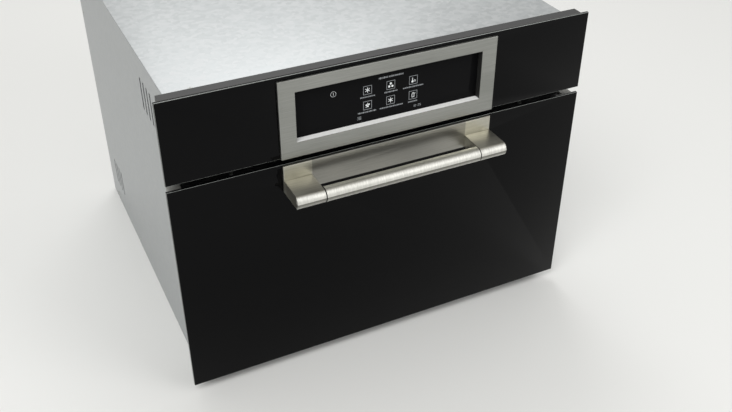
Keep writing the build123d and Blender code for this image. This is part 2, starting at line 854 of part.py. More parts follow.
# Mains and relay board on stand-offs
board_sheet = 1.6
power_board_left = -250.0
power_board_front = front + 104.0
power_board_size = (150.0, 104.0)
power_board_z = deck_top + 8.0
with BuildPart() as power_board:
    block(
        (power_board_left, power_board_left + power_board_size[0]),
        (power_board_front, power_board_front + power_board_size[1]),
        (power_board_z, power_board_z + board_sheet),
    )
    for post_x in (8, power_board_size[0] - 8):
        for post_y in (8, power_board_size[1] - 8):
            block(
                (power_board_left + post_x - 3, power_board_left + post_x + 3),
                (power_board_front + post_y - 3, power_board_front + post_y + 3),
                (deck_top, power_board_z),
            )
    for relay in range(4):
        block(
            (power_board_left + 22 + relay * 24, power_board_left + 38 + relay * 24),
            (power_board_front + 8, power_board_front + 29),
            (power_board_z + board_sheet, power_board_z + 18),
        )
    block(
        (power_board_left + 16, power_board_left + 52),
        (power_board_front + 48, power_board_front + 78),
        (power_board_z + board_sheet, power_board_z + 30),
    )
    for can in range(3):
        with BuildSketch(Plane.XY.offset(power_board_z + board_sheet)):
            with Locations((power_board_left + 74 + can * 20, power_board_front + 56)):
                RegularPolygon(7, 8)
        extrude(amount=20)
    for plug in range(3):
        block(
            (power_board_left + 70 + plug * 18, power_board_left + 83 + plug * 18),
            (power_board_front + 84, power_board_front + 95),
            (power_board_z + board_sheet, power_board_z + 10),
        )
save(power_board.part, "power_board")

# Inverter supply of the magnetron: board, ferrite transformer, finned heat sink, capacitors
inverter_left = -250.0
inverter_front = front + 262.0
inverter_size = (170.0, 150.0)
inverter_z = deck_top + 10.0
sink_fins = 5
with BuildPart() as inverter_unit:
    block(
        (inverter_left, inverter_left + inverter_size[0]),
        (inverter_front, inverter_front + inverter_size[1]),
        (inverter_z, inverter_z + board_sheet),
    )
    for post_x in (8, inverter_size[0] - 8):
        for post_y in (8, inverter_size[1] - 8):
            block(
                (inverter_left + post_x - 3, inverter_left + post_x + 3),
                (inverter_front + post_y - 3, inverter_front + post_y + 3),
                (deck_top, inverter_z),
            )
    block(
        (inverter_left + 96, inverter_left + 156),
        (inverter_front + 44, inverter_front + 68),
        (inverter_z + board_sheet, inverter_z + 56),
    )
    block(
        (inverter_left + 96, inverter_left + 156),
        (inverter_front + 84, inverter_front + 108),
        (inverter_z + board_sheet, inverter_z + 56),
    )
    with BuildSketch(front_plane(inverter_front + 40)):
        with Locations((inverter_left + 126, inverter_z + 29)):
            RegularPolygon(22, 8)
    extrude(amount=-72)
    block(
        (inverter_left + 14, inverter_left + 80),
        (inverter_front + 60, inverter_front + 64),
        (inverter_z + board_sheet, inverter_z + 44),
    )
    for fin in range(sink_fins):
        fin_x = inverter_left + 15 + fin * 16
        block(
            (fin_x - 0.6, fin_x + 0.6),
            (inverter_front + 36, inverter_front + 60),
            (inverter_z + board_sheet, inverter_z + 44),
        )
    for can in range(3):
        with BuildSketch(Plane.XY.offset(inverter_z + board_sheet)):
            with Locations((inverter_left + 26 + can * 24, inverter_front + 96)):
                RegularPolygon(9, 8)
        extrude(amount=28)
    block(
        (inverter_left + 20, inverter_left + 60),
        (inverter_front + 120, inverter_front + 138),
        (inverter_z + board_sheet, inverter_z + 24),
    )
save(inverter_unit.part, "inverter_unit")

# Terminal box behind the rear panel, with the cable gland in its cover
terminal_box = (78.0, 48.0, 34.0)
terminal_sheet = 2.0
gland_radius = 6.0
gland_length = 14.0
gland_drop = 10.0
terminal_back = rear - casing_sheet
terminal_front = terminal_back - terminal_box[2]
terminal_half = (terminal_box[0] / 2, terminal_box[1] / 2)
with BuildPart() as terminal_block:
    block(
        (terminal_x - terminal_half[0], terminal_x + terminal_half[0]),
        (terminal_front, terminal_back - terminal_sheet),
        (terminal_z - terminal_half[1], terminal_z + terminal_half[1]),
    )
    block(
        (terminal_x - terminal_half[0] + terminal_sheet, terminal_x + terminal_half[0] - terminal_sheet),
        (terminal_front + terminal_sheet, terminal_back - terminal_sheet),
        (terminal_z - terminal_half[1] + terminal_sheet, terminal_z + terminal_half[1] - terminal_sheet),
        mode=Mode.SUBTRACT,
    )
    block(
        (terminal_x - terminal_window[0] / 2 - 6, terminal_x + terminal_window[0] / 2 + 6),
        (terminal_back - terminal_sheet, terminal_back),
        (terminal_z - terminal_window[1] / 2 - 6, terminal_z + terminal_window[1] / 2 + 6),
    )
    for pole in range(5):
        pole_x = terminal_x + (pole - 2) * 13
        block(
            (pole_x - 5, pole_x + 5),
            (terminal_front + terminal_sheet, terminal_front + 14),
            (terminal_z + 2, terminal_z + 18),
        )
    with BuildSketch(front_plane(terminal_back - gland_length)):
        with Locations((terminal_x, terminal_z - gland_drop)):
            RegularPolygon(gland_radius + 4, 6)
    extrude(amount=-gland_length)
    with BuildSketch(front_plane(terminal_back - gland_length)):
        with Locations((terminal_x, terminal_z - gland_drop)):
            Circle(gland_radius)
    extrude(amount=-gland_length, mode=Mode.SUBTRACT)
save(terminal_block.part, "terminal_block")

# Fascia and display

fascia_height = overall_height - fascia_bottom
bezel_height = fascia_height - bezel_margin
opening_width = bezel_width - 2 * bezel_side
opening_height = bezel_height - bezel_foot - bezel_head
opening_z = fascia_bottom + bezel_foot + opening_height / 2
neck_width = opening_width + 2 * bezel_wall
neck_height = opening_height + 2 * bezel_wall
display_front = front - bezel_proud + display_recess
display_lap = 2.5
carrier_sheet = 2.0
carrier_back = cabinet_plane
carrier_bottom = fascia_bottom + 1.5
carrier_top = overall_height - 2.0
carrier_hem = 16.0

# Dark glass of the fascia with the opening that the display frame plugs into
with BuildPart() as fascia_glass:
    with BuildSketch(front_plane(front)):
        with Locations((0, fascia_bottom + fascia_height / 2)):
            Rectangle(front_width, fascia_height)
        with Locations((0, opening_z)):
            Rectangle(neck_width + 1, neck_height + 1, mode=Mode.SUBTRACT)
    extrude(amount=-glass_thickness)
save(fascia_glass.part, "fascia_glass")

# Metal display frame: a flange that stands proud of the glass and a neck through it
with BuildPart() as display_bezel:
    with BuildSketch(front_plane(front)):
        with Locations((0, fascia_bottom + bezel_height / 2)):
            Rectangle(bezel_width, bezel_height)
    extrude(amount=bezel_proud)
    chamfer(display_bezel.faces().sort_by(Axis.Y)[0].edges(), 0.4)
    with BuildSketch(front_plane(front)):
        with Locations((0, opening_z)):
            Rectangle(neck_width, neck_height)
    extrude(amount=-(display_recess - bezel_proud))
    with BuildSketch(front_plane(front - bezel_proud)):
        with Locations((0, opening_z)):
            Rectangle(opening_width, opening_height)
    extrude(amount=-display_recess, mode=Mode.SUBTRACT)
save(display_bezel.part, "display_bezel")

# Touch glass seated on the back of the neck
with BuildPart() as display_glass:
    with BuildSketch(front_plane(display_front)):
        with Locations((0, opening_z)):
            Rectangle(neck_width + 2 * display_lap, neck_height + 2)
    extrude(amount=-display_thickness)
save(display_glass.part, "display_glass")

# Moulded carrier behind the fascia glass, hollow and open to the rear, with a hem on the casing
board_half = neck_width / 2 + 10
board_front = display_front + display_thickness + 4.0
board_bottom = opening_z - opening_height / 2 - 1.0
with BuildPart() as fascia_carrier:
    block((-frame_half, frame_half), (glass_back, carrier_back), (carrier_bottom, carrier_top))
    block(
        (-frame_half + carrier_sheet, frame_half - carrier_sheet),
        (glass_back + carrier_sheet, carrier_back),
        (carrier_bottom + carrier_sheet, carrier_top - carrier_sheet),
        mode=Mode.SUBTRACT,
    )
    for side in (-1, 1):
        block(
            (side * (frame_half - carrier_hem), side * frame_half),
            (carrier_back - carrier_sheet, carrier_back),
            (carrier_bottom, carrier_top),
        )
        for post_z in (opening_z - opening_height / 2 - 1, opening_z + opening_height / 2 - 5):
            block(
                (side * (board_half - 6), side * board_half),
                (glass_back, board_front),
                (post_z, post_z + 6),
            )
    block(
        (-frame_half, frame_half),
        (carrier_back - carrier_sheet, carrier_back),
        (carrier_top - carrier_hem, carrier_top),
    )
    with BuildSketch(front_plane(glass_back)):
        with Locations((0, opening_z)):
            Rectangle(neck_width + 2 * display_lap + 1, neck_height + 3)
    extrude(amount=-carrier_sheet, mode=Mode.SUBTRACT)
save(fascia_carrier.part, "fascia_carrier")

# Display module and its circuit board behind the touch glass
with BuildPart() as control_board:
    block(
        (-opening_width / 2 + 4, opening_width / 2 - 4),
        (display_front + display_thickness, board_front),
        (opening_z - opening_height / 2 + 3, opening_z + opening_height / 2 - 3),
    )
    block(
        (-board_half, board_half),
        (board_front, board_front + board_sheet),
        (board_bottom, opening_z + opening_height / 2 + 1),
    )
    for plug_x in (-90, -40, 60):
        block(
            (plug_x - 12, plug_x + 12),
            (board_front + board_sheet, board_front + board_sheet + 5),
            (board_bottom + 3, board_bottom + 11),
        )
    block(
        (-10, 10),
        (board_front + board_sheet, board_front + board_sheet + 1.5),
        (opening_z - 10, opening_z + 10),
    )
save(control_board.part, "control_board")

# Door

door_middle_z = door_bottom + door_height / 2
frame_bottom = door_bottom + 5.0
frame_top = door_top - 5.0
frame_back = front + frame_depth
column_inner = channel_x - channel_width / 2 - 2.0
window_half = half_cavity - window_inset
window_bottom = door_bottom + window_sill
window_top = door_top - window_head
arm_top = door_top - arm_drop
arm_bottom = arm_top - arm_thickness
arm_outer = handle_width / 2
arm_inner = arm_outer - arm_width
screw_x = (arm_outer + arm_inner) / 2
screw_z = (arm_top + arm_bottom) / 2
screw_hole = screw_radius + 0.25
pocket_top = 48.0
hinge_arm_top = 115.0
hinge_arm_sheet = 3.0
hinge_arm_inner = channel_x - channel_width / 2 + channel_sheet + 0.6
rod_sheet = 3.0
rod_inner = hinge_arm_inner + hinge_arm_sheet + 0.4

# Outer glass of the door, drilled for the two handle screws
with BuildPart() as door_outer_glass:
    with BuildSketch(front_plane(front)):
        with Locations((0, door_middle_z)):
            Rectangle(front_width, door_height)
        with Locations((-screw_x, screw_z), (screw_x, screw_z)):
            twelve_sided(screw_hole, mode=Mode.SUBTRACT)
    extrude(amount=-glass_thickness)
save(door_outer_glass.part, "door_outer_glass")

# Pressed frame: face sheet with the window, box columns at the sides, window tunnel
tunnel_depth = front_overlay - glass_thickness
with BuildPart() as door_frame:
    block((-frame_half, frame_half), (glass_back, frame_back), (frame_bottom, frame_top))
    block(
        (-column_inner, column_inner),
        (glass_back + frame_sheet, frame_back),
        (frame_bottom + frame_sheet, frame_top - frame_sheet),
        mode=Mode.SUBTRACT,
    )
    for side in (-1, 1):
        block(
            (side * (column_inner + frame_sheet), side * (frame_half - frame_sheet)),
            (glass_back + frame_sheet, frame_back - frame_sheet),
            (frame_bottom + frame_sheet, frame_top - frame_sheet),
            mode=Mode.SUBTRACT,
        )
        block(
            (side * column_inner, side * hinge_arm_inner),
            (glass_back, frame_back),
            (pocket_top, hinge_arm_top + 8),
        )
        block(
            (side * (channel_x - channel_width / 2 - 0.7), side * (half_body + seat_gap)),
            (front + 6, frame_back),
            (frame_bottom, pocket_top),
            mode=Mode.SUBTRACT,
        )
        block(
            (side * hinge_arm_inner, side * (half_body + seat_gap)),
            (front + 6, frame_back),
            (pocket_top, hinge_arm_top + 2),
            mode=Mode.SUBTRACT,
        )
    block(
        (-window_half - frame_sheet, window_half + frame_sheet),
        (glass_back, glass_back + tunnel_depth),
        (window_bottom - frame_sheet, window_top + frame_sheet),
    )
    block(
        (-window_half, window_half),
        (glass_back, glass_back + tunnel_depth),
        (window_bottom, window_top),
        mode=Mode.SUBTRACT,
    )
    with BuildSketch(front_plane(glass_back)):
        with Locations((-screw_x, screw_z), (screw_x, screw_z)):
            twelve_sided(screw_hole)
    extrude(amount=-frame_sheet, mode=Mode.SUBTRACT)
save(door_frame.part, "door_frame")

# Pale end caps on the upper corners of the frame
cap_wall = 3.0
cap_reach = 13.0
cap_drop = 12.0
with BuildPart() as door_end_caps:
    for side in (-1, 1):
        block(
            (side * frame_half, side * (frame_half + cap_wall)),
            (glass_back, frame_back),
            (frame_top - cap_drop, frame_top + cap_wall),
        )
        block(
            (side * (frame_half - cap_reach), side * frame_half),
            (glass_back, frame_back),
            (frame_top, frame_top + cap_wall),
        )
save(door_end_caps.part, "door_end_caps")

# Choke frame: back sheet with the window screen and the comb-edged channel that holds the waves in
choke_sheet = 1.2
choke_half = channel_x - channel_width / 2 - 3.0
choke_bottom = door_bottom + 21.0
choke_top = door_top - 7.0
choke_back = front + door_depth - 2.0
choke_inner_half = half_cavity + 6.0
choke_inner_bottom = cavity_floor - 6.0
choke_inner_top = cavity_top + 6.0
choke_inner_back = choke_back - 2.0
tooth_pitch = 55.0
tooth_gap = 5.0
tooth_length = 8.0
screen_pitch = 100.0
screen_bar = 3.0
choke_middle_z = (choke_bottom + choke_top) / 2
choke_inner_z = (choke_inner_bottom + choke_inner_top) / 2
tooth_columns = int((choke_top - choke_bottom) / tooth_pitch)
tooth_rows = int(2 * choke_half / tooth_pitch)
screen_columns = round(2 * window_half / screen_pitch)
screen_rows = round((window_top - window_bottom) / screen_pitch)
with BuildPart() as choke_frame:
    block((-choke_half, choke_half), (cabinet_plane, choke_back), (choke_bottom, choke_top))
    block(
        (-choke_half + choke_sheet, choke_half - choke_sheet),
        (cabinet_plane + choke_sheet, choke_back),
        (choke_bottom + choke_sheet, choke_top - choke_sheet),
        mode=Mode.SUBTRACT,
    )
    with BuildSketch(front_plane(cabinet_plane)):
        with Locations((0, choke_inner_z)):
            Rectangle(2 * choke_inner_half, choke_inner_top - choke_inner_bottom)
            Rectangle(
                2 * (choke_inner_half - choke_sheet),
                choke_inner_top - choke_inner_bottom - 2 * choke_sheet,
                mode=Mode.SUBTRACT,
            )
    extrude(amount=-(choke_inner_back - cabinet_plane))
    with BuildSketch(side_plane(-choke_half)):
        with Locations((choke_back - tooth_length / 2, choke_middle_z)):
            with GridLocations(1, tooth_pitch, 1, tooth_columns):
                Rectangle(tooth_length, tooth_gap)
    extrude(amount=choke_sheet, mode=Mode.SUBTRACT)
    with BuildSketch(side_plane(choke_half)):
        with Locations((choke_back - tooth_length / 2, choke_middle_z)):
            with GridLocations(1, tooth_pitch, 1, tooth_columns):
                Rectangle(tooth_length, tooth_gap)
    extrude(amount=-choke_sheet, mode=Mode.SUBTRACT)
    for rim_z in (choke_bottom, choke_top - choke_sheet):
        with BuildSketch(Plane.XY.offset(rim_z)):
            with Locations((0, choke_back - tooth_length / 2)):
                with GridLocations(tooth_pitch, 1, tooth_rows, 1):
                    Rectangle(tooth_gap, tooth_length)
        extrude(amount=choke_sheet, mode=Mode.SUBTRACT)
    with BuildSketch(front_plane(cabinet_plane)):
        with Locations((0, (window_bottom + window_top) / 2)):
            with GridLocations(screen_pitch, screen_pitch, screen_columns, screen_rows):
                Rectangle(screen_pitch - screen_bar, screen_pitch - screen_bar)
    extrude(amount=-choke_sheet, mode=Mode.SUBTRACT)
save(choke_frame.part, "choke_frame")

# Inner glass on the inner lip, and the moulded cover over the channel
cover_half = choke_half + 2.0
cover_back = front + door_depth
with BuildPart() as door_inner_glass:
    with BuildSketch(front_plane(choke_inner_back)):
        with Locations((0, choke_inner_z)):
            Rectangle(2 * choke_inner_half, choke_inner_top - choke_inner_bottom)
    extrude(amount=-(cover_back - choke_inner_back - 0.5))
save(door_inner_glass.part, "door_inner_glass")

with BuildPart() as choke_cover:
    with BuildSketch(front_plane(choke_back)):
        with Locations((0, choke_middle_z)):
            Rectangle(2 * cover_half, choke_top - choke_bottom + 4)
        with Locations((0, choke_inner_z)):
            Rectangle(
                2 * (choke_inner_half + seat_gap),
                choke_inner_top - choke_inner_bottom + 2 * seat_gap,
                mode=Mode.SUBTRACT,
            )
    extrude(amount=-(cover_back - choke_back))
save(choke_cover.part, "choke_cover")

# Handle: brushed plate, two thick arms and the bar between them with one rounded nose
plate_top = door_top - plate_top_step
plate_front = front - plate_proud
nose_tip = front - handle_reach
nose_start = nose_tip + nose_depth
spigot_radius = 4.0
spigot_length = 8.0
spigot_y = nose_tip + bar_depth - 8.0
bar_half = arm_inner - bar_gap
arm_screw_depth = 18.0
with BuildPart() as handle_plate:
    with BuildSketch(front_plane(front)):
        with Locations((0, plate_top - plate_height / 2)):
            Rectangle(handle_width, plate_height)
        with Locations((-screw_x, screw_z), (screw_x, screw_z)):
            twelve_sided(screw_hole, mode=Mode.SUBTRACT)
    extrude(amount=plate_proud)
    chamfer(handle_plate.faces().sort_by(Axis.Y)[0].outer_wire().edges(), 0.4)
save(handle_plate.part, "handle_plate")

with BuildPart() as handle_arms:
    for side in (-1, 1):
        with BuildSketch(side_plane(min(side * arm_inner, side * arm_outer))):
            with BuildLine():
                Line((nose_start, arm_top), (plate_front, arm_top))
                Line((plate_front, arm_top), (plate_front, arm_bottom))
                Line((plate_front, arm_bottom), (nose_start - 1, arm_bottom))
                ThreePointArc(
                    (nose_start - 1, arm_bottom),
                    (nose_tip, screw_z - 0.5),
                    (nose_start, arm_top),
                )
            make_face()
        extrude(amount=arm_width)
        with BuildSketch(front_plane(plate_front)):
            with Locations((side * screw_x, screw_z)):
                twelve_sided(screw_radius + running_gap)
        extrude(amount=arm_screw_depth, mode=Mode.SUBTRACT)
        with BuildSketch(side_plane(side * arm_inner)):
            with Locations((spigot_y, screw_z)):
                twelve_sided(spigot_radius + running_gap)
        extrude(amount=side * (spigot_length + 1), mode=Mode.SUBTRACT)
save(handle_arms.part, "handle_arms")

with BuildPart() as handle_bar:
    with BuildSketch(side_plane(-bar_half)):
        with BuildLine():
            Line((nose_start, arm_top), (nose_tip + bar_depth, arm_top))
            Line((nose_tip + bar_depth, arm_top), (nose_tip + bar_depth, arm_bottom))
            Line((nose_tip + bar_depth, arm_bottom), (nose_start - 1, arm_bottom))
            ThreePointArc(
                (nose_start - 1, arm_bottom),
                (nose_tip, screw_z - 0.5),
                (nose_start, arm_top),
            )
        make_face()
    extrude(amount=2 * bar_half)
    with BuildSketch(side_plane(-arm_inner - spigot_length)):
        with Locations((spigot_y, screw_z)):
            twelve_sided(spigot_radius)
    extrude(amount=2 * (arm_inner + spigot_length))
save(handle_bar.part, "handle_bar")

with BuildPart() as handle_screws:
    for side in (-1, 1):
        with BuildSketch(front_plane(glass_back + frame_sheet)):
            with Locations((side * screw_x, screw_z)):
                twelve_sided(screw_radius)
        extrude(amount=glass_back + frame_sheet - plate_front + arm_screw_depth - 2)
        with BuildSketch(front_plane(glass_back + frame_sheet)):
            with Locations((side * screw_x, screw_z)):
                RegularPolygon(4.6, 6)
        extrude(amount=-3.5)
save(handle_screws.part, "handle_screws")

# Tongues that reach through the liner and press the interlock switches
tongue_width = 6.0
tongue_tip = front + 52.0
with BuildPart() as interlock_tongues:
    for side in (-1, 1):
        block(
            (side * (tongue_x - 6.5), side * (tongue_x + 6.5)),
            (frame_back, frame_back + 3),
            (tongue_z - 12, tongue_z + 12),
        )
        block(
            (side * (tongue_x - tongue_width / 2), side * (tongue_x + tongue_width / 2)),
            (frame_back, tongue_tip),
            (tongue_z - tongue_width / 2, tongue_z + tongue_width / 2),
        )
save(interlock_tongues.part, "interlock_tongues")

# Switches behind the liner flange, each on its own bracket
switch_front = front + 58.0
switch_back = front + 84.0
switch_inner = tongue_x - 10.0
plunger_width = 4.0
plunger_fit = 0.1
with BuildPart() as interlock_switches:
    for side in (-1, 1):
        block(
            (side * (switch_inner - 1.5), side * switch_inner),
            (flange_back, switch_back),
            (tongue_z - 10, tongue_z + 10),
        )
        block(
            (side * (switch_inner - 10), side * (switch_inner - 1.5)),
            (flange_back, flange_back + 1.5),
            (tongue_z - 10, tongue_z + 10),
        )
        block(
            (side * switch_inner, side * (tongue_x + 6)),
            (switch_front, switch_back),
            (tongue_z - 8, tongue_z + 8),
        )
        block(
            (
                side * (tongue_x - plunger_width / 2 - plunger_fit),
                side * (tongue_x + plunger_width / 2 + plunger_fit),
            ),
            (switch_front, switch_front + 8),
            (
                tongue_z - plunger_width / 2 - plunger_fit,
                tongue_z + plunger_width / 2 + plunger_fit,
            ),
            mode=Mode.SUBTRACT,
        )
save(interlock_switches.part, "interlock_switches")

for side, node in ((-1, "left_interlock_plunger"), (1, "right_interlock_plunger")):
    with BuildPart() as interlock_plunger:
        block(
            (side * (tongue_x - plunger_width / 2), side * (tongue_x + plunger_width / 2)),
            (tongue_tip + seat_gap, switch_front + 4),
            (tongue_z - plunger_width / 2, tongue_z + plunger_width / 2),
        )
        chamfer(interlock_plunger.faces().sort_by(Axis.Y)[0].edges(), 0.6)
    save(interlock_plunger.part, node)

# Door hinges

channel_inner = channel_x - channel_width / 2
channel_outer = channel_x + channel_width / 2
channel_bottom = pivot_z - 6.5
channel_top = 44.0
channel_shoulder = front + 40.0
channel_back = channel_shoulder + channel_length - 20
nose_radius = pivot_z - channel_bottom
crank_offset = crank_radius / sqrt(2)
pin_y = pivot_y + crank_offset
pin_z = pivot_z + crank_offset
rod_z = 32.0
rod_height = 8.0
arm_eye = 8.5
arm_web = 11.5
crank_eye = 6.0
rod_end = front + 100.0
spring_radius = 3.1
post_y = channel_back - 8.0

# Fixed channels on the sills, each with its pivot pin and the rear post of the spring
with BuildPart() as hinge_bodies:
    for side in (-1, 1):
        for sheet_x in (channel_inner, channel_outer - channel_sheet):
            with BuildSketch(side_plane(min(side * sheet_x, side * (sheet_x + channel_sheet)))):
                with BuildLine():
                    Polyline(
                        (pivot_y, channel_bottom),
                        (channel_back, channel_bottom),
                        (channel_back, channel_top),
                        (channel_shoulder, channel_top),
                        (pivot_y, pivot_z + nose_radius),
                        (pivot_y - nose_radius * 0.71, pivot_z + nose_radius * 0.71),
                        (pivot_y - nose_radius, pivot_z),
                        (pivot_y - nose_radius * 0.71, pivot_z - nose_radius * 0.71),
                        close=True,
                    )
                make_face()
            extrude(amount=channel_sheet)
        block(
            (side * channel_inner, side * channel_outer),
            (channel_shoulder, channel_back),
            (channel_bottom, channel_bottom + channel_sheet),
        )
        block(
            (side * channel_inner, side * channel_outer),
            (post_y, post_y + 3),
            (rod_z - 4, rod_z + 4),
        )
        with BuildSketch(side_plane(min(side * channel_inner, side * channel_outer))):
            with Locations((pivot_y, pivot_z)):
                Circle(pivot_radius)
        extrude(amount=channel_width)
save(hinge_bodies.part, "hinge_bodies")

# Arms that carry the door, each with its crank pin
with BuildPart() as hinge_arms:
    for side in (-1, 1):
        with BuildSketch(
            side_plane(min(side * hinge_arm_inner, side * (hinge_arm_inner + hinge_arm_sheet)))
        ):
            with Locations((pivot_y, pivot_z)):
                RegularPolygon(arm_eye, 16)
            with Locations((pin_y, pin_z)):
                RegularPolygon(crank_eye, 12)
            make_hull()
            with Locations((pivot_y - arm_eye, pivot_z)):
                Rectangle(arm_web, hinge_arm_top - pivot_z, align=(Align.MIN, Align.MIN))
            with Locations((pivot_y, pivot_z)):
                Circle(pivot_radius + running_gap, mode=Mode.SUBTRACT)
        extrude(amount=hinge_arm_sheet)
        with BuildSketch(side_plane(side * (hinge_arm_inner + hinge_arm_sheet))):
            with Locations((pin_y, pin_z)):
                Circle(crank_pin_radius)
        extrude(amount=side * (rod_sheet + 1.5))
save(hinge_arms.part, "hinge_arms")

# Pull rods: a slotted eye round the crank pin and a shank back to the spring
slot_half = crank_pin_radius + 0.6
slot_bottom = pin_z - crank_pin_radius - 0.4
slot_top = pivot_z + crank_radius + crank_pin_radius + 0.4
for side, node in ((-1, "left_pull_rod"), (1, "right_pull_rod")):
    with BuildPart() as pull_rod:
        block(
            (side * rod_inner, side * (rod_inner + rod_sheet)),
            (pin_y - slot_half - 4, pin_y + slot_half + 4),
            (slot_bottom - 3, slot_top + 3),
        )
        block(
            (side * rod_inner, side * (rod_inner + rod_sheet)),
            (pin_y - slot_half, pin_y + slot_half),
            (slot_bottom, slot_top),
            mode=Mode.SUBTRACT,
        )
        block(
            (side * rod_inner, side * (rod_inner + rod_sheet)),
            (pin_y + slot_half + 3, rod_end),
            (rod_z - rod_height / 2, rod_z + rod_height / 2),
        )
        block(
            (side * rod_inner, side * (rod_inner + rod_sheet)),
            (rod_end - 8, rod_end - 4),
            (rod_z - 2, rod_z + 2),
            mode=Mode.SUBTRACT,
        )
    save(pull_rod.part, node)

# Tension springs between the rods and the rear posts
with BuildPart() as hinge_springs:
    for side in (-1, 1):
        with BuildSketch(front_plane(rod_end + seat_gap)):
            with Locations((side * (rod_inner + rod_sheet / 2), rod_z)):
                RegularPolygon(spring_radius, 8)
        extrude(amount=-(post_y - rod_end - 2 * seat_gap))
save(hinge_springs.part, "hinge_springs")

# Turntable

roller_z = cavity_floor + seat_gap + roller_radius
tray_bottom = roller_z + roller_radius + seat_gap
tray_top = tray_bottom + tray_thickness
tray_rim = 7.0
tray_sides = 40
coupler_radius = 9.0
coupler_reach = 20.0
coupler_shaft = 3.5
coupler_bottom = cavity_floor + 4.0
coupler_arm = 7.0
coupler_recess = 2.5
coupler_clear = 0.5
shaft_bottom = cavity_floor - 16.0
motor_top = cavity_floor - liner_sheet

# Geared motor under the cavity floor
with BuildPart() as turntable_motor:
    with BuildSketch(Plane.XY.offset(motor_top - 18)):
        with Locations((0, cavity_middle_y)):
            RegularPolygon(25, 16)
    extrude(amount=15)
    block(
        (-34, 34),
        (cavity_middle_y - 7, cavity_middle_y + 7),
        (motor_top - 3, motor_top),
    )
    with BuildSketch(Plane.XY.offset(motor_top - 18)):
        with Locations((0, cavity_middle_y)):
            Circle(coupler_shaft + running_gap)
    extrude(amount=18, mode=Mode.SUBTRACT)
save(turntable_motor.part, "turntable_motor")

# Three-armed coupler on the motor shaft; its top sits in a recess of the same form in the tray
with BuildPart() as drive_coupler:
    with BuildSketch(Plane.XY.offset(coupler_bottom)):
        with Locations((0, cavity_middle_y)):
            twelve_sided(coupler_radius)
            with PolarLocations(coupler_reach / 2, 3, start_angle=90):
                Rectangle(coupler_reach, coupler_arm)
    extrude(amount=tray_bottom + coupler_recess - seat_gap - coupler_bottom)
    with BuildSketch(Plane.XY.offset(shaft_bottom)):
        with Locations((0, cavity_middle_y)):
            Circle(coupler_shaft)
    extrude(amount=coupler_bottom - shaft_bottom)
save(drive_coupler.part, "drive_coupler")

# Glass tray with a low sloping rim, drawn with forty sides
with BuildPart() as turntable:
    for level, reach in ((tray_bottom, tray_radius - 8), (tray_top + tray_rim, tray_radius)):
        with BuildSketch(Plane.XY.offset(level)):
            with Locations((0, cavity_middle_y)):
                RegularPolygon(reach, tray_sides)
    loft()
    for level, reach in ((tray_top, tray_radius - 11), (tray_top + tray_rim, tray_radius - 4)):
        with BuildSketch(Plane.XY.offset(level)):
            with Locations((0, cavity_middle_y)):
                RegularPolygon(reach, tray_sides)
    loft(mode=Mode.SUBTRACT)
    with BuildSketch(Plane.XY.offset(tray_bottom)):
        with Locations((0, cavity_middle_y)):
            twelve_sided(coupler_radius + coupler_clear)
            with PolarLocations(coupler_reach / 2, 3, start_angle=90):
                Rectangle(coupler_reach + 2 * coupler_clear, coupler_arm + 2 * coupler_clear)
    extrude(amount=coupler_recess, mode=Mode.SUBTRACT)
save(turntable.part, "turntable")

# Ring that spaces the three rollers under the tray
ring_rim = 98.0
ring_width = 4.0
axle_radius = 2.0
axle_fit = 0.08
axle_end = roller_circle + roller_width / 2 + 4.5
with BuildPart() as roller_ring:
    with BuildSketch(Plane.XY.offset(roller_z - ring_width / 2)):
        with Locations((0, cavity_middle_y)):
            RegularPolygon(ring_rim + ring_width / 2, 18)
            RegularPolygon(ring_rim - ring_width / 2, 18, mode=Mode.SUBTRACT)
    extrude(amount=ring_width)
    for axle in range(3):
        angle = radians(90 + 120 * axle)
        outward = (cos(angle), sin(angle), 0)
        axle_origin = (ring_rim * cos(angle), cavity_middle_y + ring_rim * sin(angle), roller_z)
        with BuildSketch(Plane(origin=axle_origin, x_dir=(0, 0, 1), z_dir=outward)):
            Circle(axle_radius)
        extrude(amount=axle_end - ring_rim)
        cap_from = axle_end - 3
        cap_origin = (cap_from * cos(angle), cavity_middle_y + cap_from * sin(angle), roller_z)
        with BuildSketch(Plane(origin=cap_origin, x_dir=(0, 0, 1), z_dir=outward)):
            RegularPolygon(axle_radius + 1.6, 8)
        extrude(amount=3)
save(roller_ring.part, "roller_ring")

for number in range(3):
    angle = radians(90 + 120 * number)
    outward = (cos(angle), sin(angle), 0)
    wheel_from = roller_circle - roller_width / 2
    wheel_origin = (wheel_from * cos(angle), cavity_middle_y + wheel_from * sin(angle), roller_z)
    with BuildPart() as roller:
        with BuildSketch(Plane(origin=wheel_origin, x_dir=(0, 0, 1), z_dir=outward)):
            RegularPolygon(roller_radius, 16)
            Circle(axle_radius + axle_fit, mode=Mode.SUBTRACT)
        extrude(amount=roller_width)
    save(roller.part, f"roller_{number + 1}")

